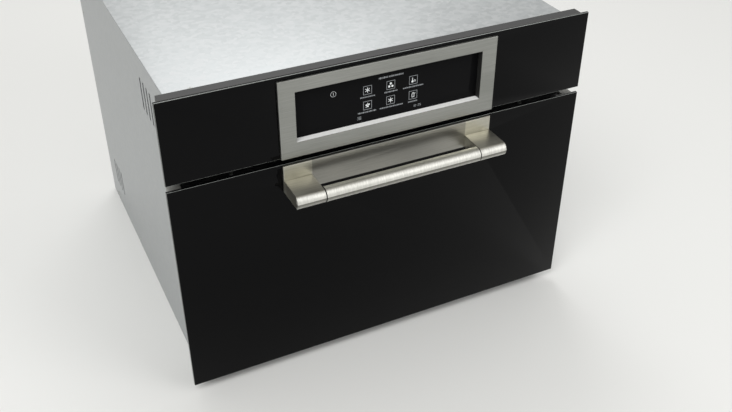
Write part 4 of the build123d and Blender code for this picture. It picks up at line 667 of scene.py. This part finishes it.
# the plate's foot and the bar's back are trimmed by about 2 mm and the bar's ends by 0.5 mm, so that the dark
# shows between them and next to the arms, as in the photograph
frontPieces = {
    "door_outer_glass": dict(width=0.6, material=paneGlass, body="door", slotName="black_glass",
                             others=[(glassEdgeHighlight, paneEdge)]),
    "fascia_glass": dict(width=0.6, material=paneGlass, body="chassis", slotName="black_glass",
                         others=[(glassEdgeHighlight, paneEdge)]),
    "display_glass": dict(width=0.2, material=touchGlass, body="chassis", slotName="touch_glass"),
    "display_bezel": dict(width=0.35, material=bezelSteel, body="chassis", slotName="brushed_bezel",
                          others=[(windowWallShade, displayWall), (ledgeHighlight, displayLedge)]),
    "handle_plate": dict(width=0.35, material=plateSteel, body="door", slotName="brushed_bezel",
                         trims=[(2, 292.0, 293.5, 2.0)]),
    "handle_bar": dict(width=0.4, material=barSteel, body="door", slotName="handle_metal",
                       trims=[(1, -293.0, -292.0, -1.9), (0, 110.5, 112.0, -0.5), (0, -112.0, -110.5, 0.5)],
                       # the bar's end faces are black as painted shade in the gaps beside the arms
                       others=[(blackAbs, barEndInShade)]),
    "handle_arms": dict(width=0.5, material=armSteel, body="door", slotName="handle_metal"),
    "door_end_caps": dict(width=0.6, material=capPlasticShaded, body="door", slotName="cap_plastic"),
    # less than the sheet's 1 mm, or the folds' inner and outer roundings would cross
    "outer_casing": dict(width=0.8, material=zinc, body="chassis", slotName="zinc_sheet", segments=4,
                         chosen=casingFold),
}
for node, values in frontPieces.items():
    softened(node, **values)
print("front edges softened")


# display marks: generic icons, rows of small bars under and over them, and a clock

marks = {
    "lift": 0.08,  # printed film in front of the glass
    "columns": (-29.7, 2.9, 35.2),
    "rowHeights": (408.9, 387.6),
    "icons": (("crystal", "drops", "probe"), ("sprig", "crystal", "jug")),
    "iconSize": 3.6,
    "square": 11.4,
    "squareLine": 0.55,
    "labelDrop": 9.3,
    "labelTall": 2.0,
    "labels": ((20.3, 18.4, 29.6), (25.6, 33.4, 13.4)),
    "labelShift": ((0.1, 0.2, 0.0), (-0.7, 1.4, -0.1)),
    "title": ((-7.6, 13.0), (10.4, 20.0)),  # the middle and width of each of its rows
    "titleLevel": 421.2,
    "titleTall": 2.6,
    "power": (-76.4, 413.6, 3.6),
    "powerRing": 0.3,
    "powerStroke": (1.9, 0.45),
    "list": (-41.2, 371.4, 5.2),
    "listDot": 0.8,
    "listGap": 0.6,
    "listLine": 0.7,
    "clock": (41.3, 371.2, "10:25"),
}
barSizes = {"shortest": 0.8, "step": 0.35, "gap": 0.6, "lowShare": 0.75, "leastLeft": 0.5}
clockDigits = {"height": 2.9, "width": 1.6, "gap": 0.9, "line": 0.38, "dot": 0.4, "dotInset": 0.6,
               "dotLevels": (-0.25, 0.2)}
slant = math.sqrt(3) / 2
# in shares of the icon's size but for the lines, in millimetres; discs and rings are (x, z, radius)
icons = {
    "crystal": {"line": 0.8, "strokes": [
        [(-slant, -0.5), (slant, 0.5)], [(0, -1), (0, 1)], [(slant, -0.5), (-slant, 0.5)]]},
    "drops": {"discs": [(0, 0.55, 0.22), (-0.62, -0.5, 0.22), (0.62, -0.5, 0.22)]},
    "probe": {"line": 0.9, "strokes": [[(-0.35, 0.9), (-0.35, -0.2)]], "discs": [(-0.35, -0.55, 0.22)],
              "rings": [(0.55, -0.35, 0.3)], "ringLine": 0.5},
    "sprig": {"line": 0.7, "strokes": [[(-0.7, -0.9), (0.1, -0.1), (0, 0.9)]],
              "discs": [(-0.45, 0.1, 0.17), (0.55, 0.25, 0.17), (0.15, -0.45, 0.17)]},
    "jug": {"line": 0.7, "strokes": [[(0.5, 0.35), (0.9, 0.8)]], "loops": [
        [(-0.42, -0.85), (0.42, -0.85), (0.42, 0.2), (0.15, 0.85), (-0.15, 0.85), (-0.42, 0.2)]]},
}


def ribbon(points, width, closed=False):
    # a flat stroke with mitred corners: its two edges as lists of points
    points = [Vector(p) for p in points]
    count = len(points)
    left, right = [], []
    for i, point in enumerate(points):
        before = points[i - 1] if i or closed else point
        after = points[(i + 1) % count] if i < count - 1 or closed else point
        ways = [w.normalized() for w in (point - before, after - point) if w.length > 1e-6]
        mean = sum(ways, Vector((0, 0))).normalized()
        across = Vector((-mean.y, mean.x))
        mitre = max(0.35, abs(across.dot(Vector((-ways[0].y, ways[0].x)))))  # sharp corners stay short
        left.append(point + across * width / 2 / mitre)
        right.append(point - across * width / 2 / mitre)
    return left, right


def addStroke(work, points, width, closed=False):
    # the stroke as a thin closed prism that lies on the display glass
    back = boxOf["display_glass"][0].y
    levels = (back - marks["lift"] * mm, back)
    edges = ribbon(points, width, closed)
    corners = [[work.verts.new((p.x * mm, y, p.y * mm)) for y in levels for p in side] for side in edges]
    count = len(edges[0])
    # the prism's four long edges: left and right, each at the front and then at the back
    lines = [side[start:start + count] for side in corners for start in (0, count)]
    leftFront, leftBack, rightFront, rightBack = lines
    for i in range(count if closed else count - 1):
        j = (i + 1) % count
        for near, far in ((rightFront, leftFront), (leftFront, leftBack), (rightBack, rightFront),
                          (leftBack, rightBack)):
            work.faces.new((near[i], near[j], far[j], far[i]))
    if not closed:
        for i, flip in ((0, 1), (count - 1, -1)):
            ring = (leftFront[i], leftBack[i], rightBack[i], rightFront[i])
            work.faces.new(ring[::flip])


def drawIcon(work, icon, x, z, size):
    for kind, closed in (("strokes", False), ("loops", True)):
        for points in icon.get(kind, ()):
            addStroke(work, [(x + px * size, z + pz * size) for px, pz in points], icon["line"], closed)
    # a disc is a ring whose line all but fills it
    circles = [(*disc, (2 * disc[2] - 0.02) * size) for disc in icon.get("discs", ())]
    circles += [(*ring, icon["ringLine"]) for ring in icon.get("rings", ())]
    for px, pz, radius, line in circles:
        points = circlePoints(radius * size, steps=16, x=x + px * size, y=z + pz * size)
        addStroke(work, points, line, True)


def bars(work, x, z, width, height, first):
    # short bars of uneven length in a row, centred on x; first picks where their pattern starts
    end = x + width / 2
    cursor, i = x - width / 2, 0
    while cursor < end - barSizes["leastLeft"]:
        length = min(barSizes["shortest"] + barSizes["step"] * ((i * 7 + first) % 3), end - cursor)
        tall = height if (i * 5 + first) % 3 == 0 else height * barSizes["lowShare"]
        addStroke(work, [(cursor, z), (cursor + length, z)], tall)
        cursor += length + barSizes["gap"]
        i += 1


def digits(work, x, z, text):
    # plain numbers drawn with seven strokes
    height, width, gap = clockDigits["height"], clockDigits["width"], clockDigits["gap"]
    half = height / 2
    strokes = {"a": ((0, half), (1, half)), "b": ((1, half), (1, 0)), "c": ((1, 0), (1, -half)),
               "d": ((0, -half), (1, -half)), "e": ((0, 0), (0, -half)), "f": ((0, half), (0, 0)),
               "g": ((0, 0), (1, 0))}
    parts = {"0": "abcdef", "1": "bc", "2": "abged", "5": "afgcd"}
    cursor = x - (len(text) * (width + gap) - gap) / 2
    for sign in text:
        if sign == ":":
            start, dot = cursor + clockDigits["dotInset"], clockDigits["dot"]
            for level in clockDigits["dotLevels"]:
                addStroke(work, [(start, z + level * height), (start + dot, z + level * height)], dot)
        for letter in parts.get(sign, ""):
            line = [(cursor + px * width, z + pz) for px, pz in strokes[letter]]
            addStroke(work, line, clockDigits["line"])
        cursor += width + gap


def displayMarks():
    bright, dim = bmesh.new(), bmesh.new()
    half = marks["square"] / 2
    for row, z in enumerate(marks["rowHeights"]):
        for column, x in enumerate(marks["columns"]):
            square = [(x - half, z - half), (x + half, z - half), (x + half, z + half), (x - half, z + half)]
            addStroke(dim, square, marks["squareLine"], True)
            drawIcon(bright, icons[marks["icons"][row][column]], x, z, marks["iconSize"])
            bars(dim, x + marks["labelShift"][row][column], z - marks["labelDrop"],
                 marks["labels"][row][column], marks["labelTall"], row + column)
    for first, (middle, width) in enumerate(marks["title"], 1):
        bars(dim, middle, marks["titleLevel"], width, marks["titleTall"], first)
    x, z, radius = marks["power"]
    reach, line = marks["powerStroke"]
    addStroke(bright, circlePoints(radius, steps=24, x=x, y=z), marks["powerRing"], True)
    addStroke(bright, [(x, z - reach), (x, z + reach)], line)
    x, z, size = marks["list"]
    start, dotEnd = x - size / 2, x - size / 2 + marks["listDot"]
    for level in (z - size / 3, z, z + size / 3):
        addStroke(dim, [(start, level), (dotEnd, level)], marks["listLine"])
        addStroke(dim, [(dotEnd + marks["listGap"], level), (x + size / 2, level)], marks["listLine"])
    digits(dim, *marks["clock"])
    for name, work, ink in (("display_marks_bright", bright, displayLight),
                            ("display_marks_dim", dim, displayDim)):
        makePiece(name, meshFrom(work, name), "chassis", ink)


displayMarks()
print("display marks drawn")


# screws

screw = {
    "head": [(3.3, 0), (3.3, 0.44), (2.97, 0.68), (2.244, 0.8)],  # radius and height up the pan head
    "slot": 0.55,
    "slotReach": 1.9,
    "slotDepth": 0.5,
    "slotTaper": 0.8,
}
dimple = {"wide": 5.4, "narrow": 3.9, "deep": 0.85}


def screwMesh():
    # pan head with a cross recess, standing on its seat at the origin
    work = bmesh.new()
    rings = addRings(work, screw["head"], steps=16)
    work.faces.new(rings[0][::-1])
    slot, reach, rise = screw["slot"] / 2, screw["slotReach"], screw["head"][-1][1]
    cross = [(reach, -slot), (reach, slot), (slot, slot), (slot, reach), (-slot, reach), (-slot, slot),
             (-reach, slot), (-reach, -slot), (-slot, -slot), (-slot, -reach), (slot, -reach), (slot, -slot)]
    top, foot = [[work.verts.new((x * share * mm, y * share * mm, z * mm)) for x, y in cross]
                 for share, z in ((1, rise), (screw["slotTaper"], rise - screw["slotDepth"]))]
    count = len(cross)
    for i in range(count):
        j = (i + 1) % count
        work.faces.new((top[i], top[j], foot[j], foot[i]))
    work.faces.new(foot)
    edges = [work.edges.get((ring[i - 1], ring[i])) for ring in (rings[-1], top) for i in range(len(ring))]
    bmesh.ops.triangle_fill(work, edges=edges, use_beauty=True, normal=(0, 0, 1))
    bmesh.ops.recalc_face_normals(work, faces=work.faces)
    return meshFrom(work, "panHead")


casingSide, casingLid = boxOf["outer_casing"][1].x / mm, boxOf["outer_casing"][1].z / mm
casingFront, casingBack = boxOf["outer_casing"][0].y / mm, boxOf["rear_panel"][1].y / mm
frameTop = boxOf["door_frame"][1].z / mm
quarter = math.pi / 2
# each row is its first screw's place and the step to the next, in millimetres, their number and their turn
rearRows = [
    ((-260, casingBack - dimple["deep"], 12), (130, 0, 0), 5, (-quarter, 0, 0)),
    ((-240, casingBack - dimple["deep"], casingLid - 10), (160, 0, 0), 4, (-quarter, 0, 0)),
    ((154, casingBack - dimple["deep"], 362), (0, 0, 56), 2, (-quarter, 0, 0)),
]
screwRows = {
    "casing_screws": ("chassis", [
        ((-240, casingBack - 9, casingLid), (160, 0, 0), 4, (0, 0, 0)),
        ((-245, casingFront + 12, casingLid), (245, 0, 0), 3, (0, 0, 0)),
        ((casingSide, casingFront + 40, 12), (0, 155, 0), 4, (0, quarter, 0)),
        ((-casingSide, casingFront + 40, 12), (0, 155, 0), 4, (0, -quarter, 0)),
        ((casingSide, casingBack - 9, 90), (0, 0, 130), 3, (0, quarter, 0)),
        ((-casingSide, casingBack - 9, 90), (0, 0, 130), 3, (0, -quarter, 0)),
        *rearRows,
    ]),
    "door_frame_screws": ("door", [((-212, -242, frameTop), (424, 0, 0), 2, (0, 0, 0))]),
}
panHead = patternPart(screwMesh())
for name, (body, placed) in screwRows.items():
    grownRows = [grown(rows, Part=panHead, Count=count, Start=[c * mm for c in start],
                       Step=[c * mm for c in step], Turn=turn, Finish=screwZinc)
                 for start, step, count, turn in placed]
    makePiece(name, joined(name, grownRows), body, screwZinc)
bpy.data.objects.remove(panHead)


def dimpledRear():
    # the rear screws sit in pressed dimples, so that nothing stands out behind the sheet
    wide, narrow, deep = dimple["wide"], dimple["narrow"], dimple["deep"]
    cone = [(0, -deep), (narrow, -deep), (wide, 0), (wide, 1), (0, 1)]
    cones = [turned("cone", cone, steps=24, along=(0, 1, 0),
                    centre=(start[0] + step[0] * i, casingBack, start[2] + step[2] * i))
             for start, step, count, _ in rearRows for i in range(count)]
    sheet = bmesh.new()
    sheet.from_mesh(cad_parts["rear_panel"].data)
    bmesh.ops.remove_doubles(sheet, verts=sheet.verts, dist=softening["merged"] * mm)
    holder, cutter = patternPart(meshFrom(sheet, "rearSheet")), patternPart(joined("cones", cones))
    cut = holder.modifiers.new("dimples", "BOOLEAN")
    cut.object, cut.operation, cut.solver = cutter, "DIFFERENCE", "EXACT"
    pressed = evaluatedMesh(holder)
    for obj in (holder, cutter):
        bpy.data.objects.remove(obj)
    makePiece("dimpled_rear_panel", pressed, "chassis", zinc, stands=("rear_panel",), crease=20)


dimpledRear()
print("screws set")


# door screen

screen = {"pitch": 4.6, "hole": 1.75, "sheet": 0.5, "half": 200.0, "low": 85.0, "high": 285.0, "gap": 0.1,
          "chokeSheet": 1.2}


def screenCell():
    # one square of the sheet with a six-sided hole, a few dozen faces
    half, thick = screen["pitch"] * mm / 2, screen["sheet"] * mm
    outer = [(half, 0), (half, half), (-half, half), (-half, 0), (-half, -half), (half, -half)]
    inner = circlePoints(screen["hole"] * mm, 6)
    work = bmesh.new()
    topOuter, topInner, lowOuter, lowInner = [
        [work.verts.new((x, y, z)) for x, y in outline]
        for z in (thick / 2, -thick / 2) for outline in (outer, inner)]
    for i in range(6):
        j = (i + 1) % 6
        work.faces.new((topOuter[i], topOuter[j], topInner[j], topInner[i]))
        work.faces.new((lowOuter[j], lowOuter[i], lowInner[i], lowInner[j]))
        work.faces.new((topInner[i], topInner[j], lowInner[j], lowInner[i]))
    return meshFrom(work, "screenCell")


def doorScreen():
    # perforated sheet behind the door's window: real holes are 1.2 mm, drawn larger so that they show
    pitch, low, high = screen["pitch"], screen["low"], screen["high"]
    columns, rowCount = int(2 * screen["half"] / pitch), int((high - low) / pitch)
    cell = patternPart(screenCell())
    depth = boxOf["choke_frame"][0].y / mm + screen["chokeSheet"] + screen["gap"] + screen["sheet"] / 2
    mesh = grown(sheets, Cell=cell, Columns=columns, Rows=rowCount, Width=(columns - 1) * pitch * mm,
                 Height=(rowCount - 1) * pitch * mm, Middle=(0, depth * mm, (low + high) / 2 * mm),
                 Finish=blackPaint)
    bpy.data.objects.remove(cell)
    # the front and the back of the sheet are joined round its edge
    work = bmesh.new()
    work.from_mesh(mesh)
    bmesh.ops.bridge_loops(work, edges=[edge for edge in work.edges if edge.is_boundary])
    bmesh.ops.recalc_face_normals(work, faces=work.faces)
    work.to_mesh(mesh)
    work.free()
    makePiece("door_screen", mesh, "door", blackPaint)


doorScreen()
print("door screen perforated")


# heaters

heaters = {
    "tube": 3.25,
    "grillLevel": 291.0,
    "grillRuns": (-90.0, -30.0, 30.0, 90.0),
    "grillFront": -160.3,
    "grillRear": 98.5,
    "grillEnd": 178.5,
    "bend": 29.9,
    "clipRows": (-90.3, 28.5),
    "clipHalf": 4.0,
    "clipReach": 6.0,
    "hangerHalf": 8.0,
    "ceiling": 302.0,
    "ring": 82.0,
    "ringDepth": 173.8,
    "ringMiddle": 184.0,
    "ringLegs": 20.0,
    "ringEnd": 206.5,
    "ringGap": 7.0,
}


def grillElement():
    tube, z = heaters["tube"], heaters["grillLevel"]
    a, b, c, d = heaters["grillRuns"]
    near, far, end = heaters["grillFront"], heaters["grillRear"], heaters["grillEnd"]
    corners = [(a, end), (a, near), (b, near), (b, far), (c, far), (c, near), (d, near), (d, end)]
    route = wireMesh("grillRoute", [[(x, y, z) for x, y in corners]])
    mesh = grown(tubes, route, Radius=tube * mm, Bend=heaters["bend"] * mm, Sides=16, Steps=14,
                 Finish=heaterSteel)
    makePiece("grill_tube", mesh, "chassis", stands=("grill_element",))
    # each clip is a strap over the tubes' tops, sunk 1 mm into them, and a hanger up to the ceiling
    half, reach, hanger = heaters["clipHalf"], heaters["clipReach"], heaters["hangerHalf"]
    strapLow, strapTop = z + tube - 1, z + tube + 0.5
    blocks = []
    for row in heaters["clipRows"]:
        blocks.append(((a - reach, row - half, strapLow), (d + reach, row + half, strapTop)))
        blocks.append(((-hanger, row - half, strapTop), (hanger, row + half, heaters["ceiling"])))
    clips = bevelledBlocks("grill_clips", blocks, width=0.3)
    makePiece("grill_clips", clips, "chassis", pressedSteel, stands=("grill_element",))


def ringHeater():
    # an open ring with two legs bent to the rear, with the bend at the foot of the ring
    radius, y, z = heaters["ring"], heaters["ringDepth"], heaters["ringMiddle"]
    legs, foot, end = heaters["ringLegs"], z - radius, heaters["ringEnd"]
    opening = math.asin((legs + heaters["ringGap"]) / radius)
    steps = 56
    angles = [-math.pi / 2 + opening + i * (2 * math.pi - 2 * opening) / steps for i in range(steps + 1)]
    arc = [(radius * math.cos(a), y, z + radius * math.sin(a)) for a in angles]
    turnIn = [(legs + 4, y, foot + 2.2), (legs + 1, y + 1.2, foot + 0.5), (legs, y + 5, foot),
              (legs, end, foot)]
    left = [(-px, py, pz) for px, py, pz in turnIn]
    route = wireMesh("ringRoute", [turnIn[::-1] + arc + left])
    mesh = grown(tubes, route, Radius=heaters["tube"] * mm, Bend=1.5 * mm, Sides=14, Steps=3,
                 Finish=heaterSteel)
    makePiece("ring_tube", mesh, "chassis", stands=("ring_heater",))


grillElement()
ringHeater()
print("heaters bent")


# turntable, its ring and rollers, and the rack

tray = {
    "axis": (0.0, -30.9),
    "low": 82.6,
    "thick": 5.0,
    "reach": 180.0,
    "rim": 94.6,
    "recess": (21.5, 2.5),
    "ringLevel": 74.3,
    "ringRadius": 98.0,
    "ringHalf": 2.0,
    "wheelCircle": 110.0,
    "wheel": (8.0, 7.0, 2.08),  # radius, width and bore
    "wheelAngles": (90, 210, 330),
    "tip": 4.5,  # an axle's reach beyond its wheel
}
rack = {"level": 172.6, "radius": 140.0, "rim": 2.0, "wire": 1.15, "pitch": 30.0, "wires": 8, "leg": 2.1,
        "legAngles": (30, 150, 270), "foot": (5.0, 3.0), "legInFoot": 0.5}


def aroundTray(radius, degrees, z, middle=tray["axis"]):
    angle = math.radians(degrees)
    return (middle[0] + radius * math.cos(angle), middle[1] + radius * math.sin(angle), z)


def outward(degrees):
    return aroundTray(1, degrees, 0, (0, 0))


def glassTray():
    low, top, reach, rim = tray["low"], tray["low"] + tray["thick"], tray["reach"], tray["rim"]
    hole, sink = tray["recess"]
    # from the middle of its underside out to the rolled lip, and back in over its top
    outline = [(0, low + sink), (hole - 0.6, low + sink), (hole, low + sink - 0.6), (hole, low + 0.4),
               (hole + 0.5, low), (reach - 12, low), (reach - 8.6, low + 0.5), (reach - 7, low + 2.2),
               (reach - 0.6, rim - 1.4), (reach - 1.2, rim - 0.3), (reach - 2.2, rim),
               (reach - 3.4, rim - 0.4), (reach - 4.4, rim - 1.4), (reach - 10.4, top + 1.6),
               (reach - 12.5, top + 0.3), (reach - 15.5, top), (0, top)]
    mesh = turned("glass_tray", outline, steps=96, centre=(*tray["axis"], 0))
    makePiece("glass_tray", mesh, "tray", trayGlass, stands=("turntable",), crease=50)


def rollerRing():
    level, middle, half = tray["ringLevel"], tray["ringRadius"], tray["ringHalf"]
    section = roundedLoop([(middle - half, level - half), (middle + half, level - half),
                           (middle + half, level + half), (middle - half, level + half)], radius=0.9)
    meshes = [turned("ring", section, steps=72, centre=(*tray["axis"], 0), closed=True)]
    tip = tray["wheelCircle"] + tray["wheel"][1] / 2 + tray["tip"]
    # half the section of an axle, with the head that keeps its wheel on
    axle = [(0, middle), (half, middle), (half, tip - 3), (2.9, tip - 3), (3.5, tip - 2.4), (3.5, tip - 0.8),
            (2.8, tip), (0, tip)]
    for degrees in tray["wheelAngles"]:
        meshes.append(turned("axle", axle, steps=20, centre=(*tray["axis"], level), along=outward(degrees)))
    makePiece("spacer_ring", joined("spacer_ring", meshes), "roller_spider", nylon,
              stands=("roller_ring",), crease=40)


def rollers():
    radius, width, bore = tray["wheel"]
    start, end = tray["wheelCircle"] - width / 2, tray["wheelCircle"] + width / 2
    loop = roundedLoop([(bore, start), (radius, start), (radius, end), (bore, end)], radius=0.8)
    for number, degrees in enumerate(tray["wheelAngles"], 1):
        mesh = turned("wheel", loop[::-1], steps=32, centre=(*tray["axis"], tray["ringLevel"]),
                      along=outward(degrees), closed=True)
        mesh.flip_normals()
        makePiece(f"tray_wheel_{number}", mesh, f"wheel_{number}", nylon,
                  stands=(f"roller_{number}",), crease=40)


def wireRack():
    level, radius = rack["level"], rack["radius"]
    rim = [aroundTray(radius, 5 * i, level) for i in range(72)]
    wires = []
    for i in range(rack["wires"]):
        x = (i - (rack["wires"] - 1) / 2) * rack["pitch"]
        reach = math.sqrt(radius ** 2 - x ** 2)
        wires.append([(x, tray["axis"][1] - reach, level), (x, tray["axis"][1] + reach, level)])
    foot, footHeight = rack["foot"]
    stand = tray["low"] + tray["thick"]
    legFoot = stand + footHeight - rack["legInFoot"]
    legs = [[aroundTray(radius, degrees, legFoot), aroundTray(radius, degrees, level)]
            for degrees in rack["legAngles"]]
    parts = [grown(tubes, wireMesh("run", runs), Radius=thick * mm, Bend=0.0, Sides=sides, Steps=1,
                   Finish=chromeWire)
             for runs, thick, sides in (([rim + rim[:1]], rack["rim"], 12), (wires, rack["wire"], 10),
                                        (legs, rack["leg"], 12))]
    makePiece("wire_rack", joined("wire_rack", parts), "tray", chromeWire,
              stands=("grill_rack",))
    cup = [(0, 0), (foot - 1, 0), (foot, 1), (foot - 0.2, footHeight - 0.6), (foot - 1, footHeight),
           (0, footHeight)]
    feet = [turned("foot", cup, steps=20, centre=aroundTray(radius, degrees, stand))
            for degrees in rack["legAngles"]]
    makePiece("rack_feet", joined("rack_feet", feet), "tray", silicone, stands=("grill_rack",))


glassTray()
rollerRing()
rollers()
wireRack()
print("turntable and rack made")


# hinge springs

spring = {"x": 272.0, "level": 32.0, "from": -158.7, "to": -97.3, "coil": 2.6, "wire": 0.48, "turns": 44.0}


def hingeSpring(name, sign):
    # in the oven the chassis holds one end and the pull rod draws out the other; here the coil is wound once
    # between the two ends and does not stretch
    start, fixed = [(sign * spring["x"] * mm, spring[end] * mm, spring["level"] * mm)
                    for end in ("from", "to")]
    mesh = grown(coils, Wire=spring["wire"] * mm, Coil=spring["coil"] * mm, Turns=spring["turns"],
                 Length=(spring["to"] - spring["from"]) * mm, Start=start, Finish=pressedSteel)
    smoothAll(mesh)
    obj = bpy.data.objects.new(name, mesh)
    scene.collection.objects.link(obj)
    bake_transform(obj)
    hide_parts("hinge_springs")


hingeSpring("left_spring_coil", -1)
hingeSpring("right_spring_coil", 1)
print("springs wound")


# camera, floor and light; the camera is fitted to the photograph's edges for a front of 595 x 440 mm,
# a height that was chosen for the class of oven, because the photograph doesn't fix it

view = {"place": (-473.61, -1168.69, 937.87), "yaw": 25.755, "pitch": 34.711, "lens": 44.85, "sensor": 36,
        "farClip": 50}
cameraData = bpy.data.cameras.new("photoCamera")
cameraData.sensor_width = view["sensor"]
cameraData.lens = view["lens"]
cameraData.clip_end = view["farClip"]
camera = bpy.data.objects.new("photoCamera", cameraData)
camera.location = [c * mm for c in view["place"]]
camera.rotation_euler = (math.radians(90 - view["pitch"]), 0, -math.radians(view["yaw"]))
scene.collection.objects.link(camera)
scene.camera = camera

bpy.ops.mesh.primitive_plane_add(size=60, location=(0, 0, 0))
floor = bpy.context.object
floorLook = newMaterial("paleStudioFloor", {"Base Color": hexColour("#E4E4E2"), "Roughness": 0.6})[0]
floor.name = "studio_floor"
floor.data.materials.append(floorLook)

lampAim = Vector((0, 0, 0.25))
lamps = {
    "keyLamp": dict(place=(-1.4, -1.5, 2.7), size=1.5, power=38),
    "fillLamp": dict(place=(1.6, -2.4, 1.6), size=1.6, power=22),
    "backLamp": dict(place=(0.5, 1.9, 2.9), size=1.6, power=24),
}
for name, lamp in lamps.items():
    data = bpy.data.lights.new(name, "AREA")
    data.size = lamp["size"]
    data.energy = lamp["power"]
    obj = bpy.data.objects.new(name, data)
    obj.location = lamp["place"]
    obj.rotation_euler = (lampAim - Vector(lamp["place"])).to_track_quat("-Z", "Y").to_euler()
    scene.collection.objects.link(obj)

# the world is white where the camera sees it, also in metal and through glass, and dimmer as a light
world = bpy.data.worlds.new("studioWorld")
scene.world = world
world.use_nodes = True
sky = world.node_tree
rays = addNode(sky, "ShaderNodeLightPath")
seen = rays.outputs["Is Camera Ray"]
for kind in ("Is Glossy Ray", "Is Transmission Ray"):
    seen = addNode(sky, "ShaderNodeMath", {0: seen, 1: rays.outputs[kind]}, operation="MAXIMUM")
strength = addNode(sky, "ShaderNodeMapRange", {"Value": seen, "To Min": 0.7, "To Max": 1.0})
setSockets(sky, sky.nodes["Background"], {"Color": hexColour("#F4F4F2"), "Strength": strength})
scene.view_settings.view_transform = "Standard"
print("camera, floor and light set")
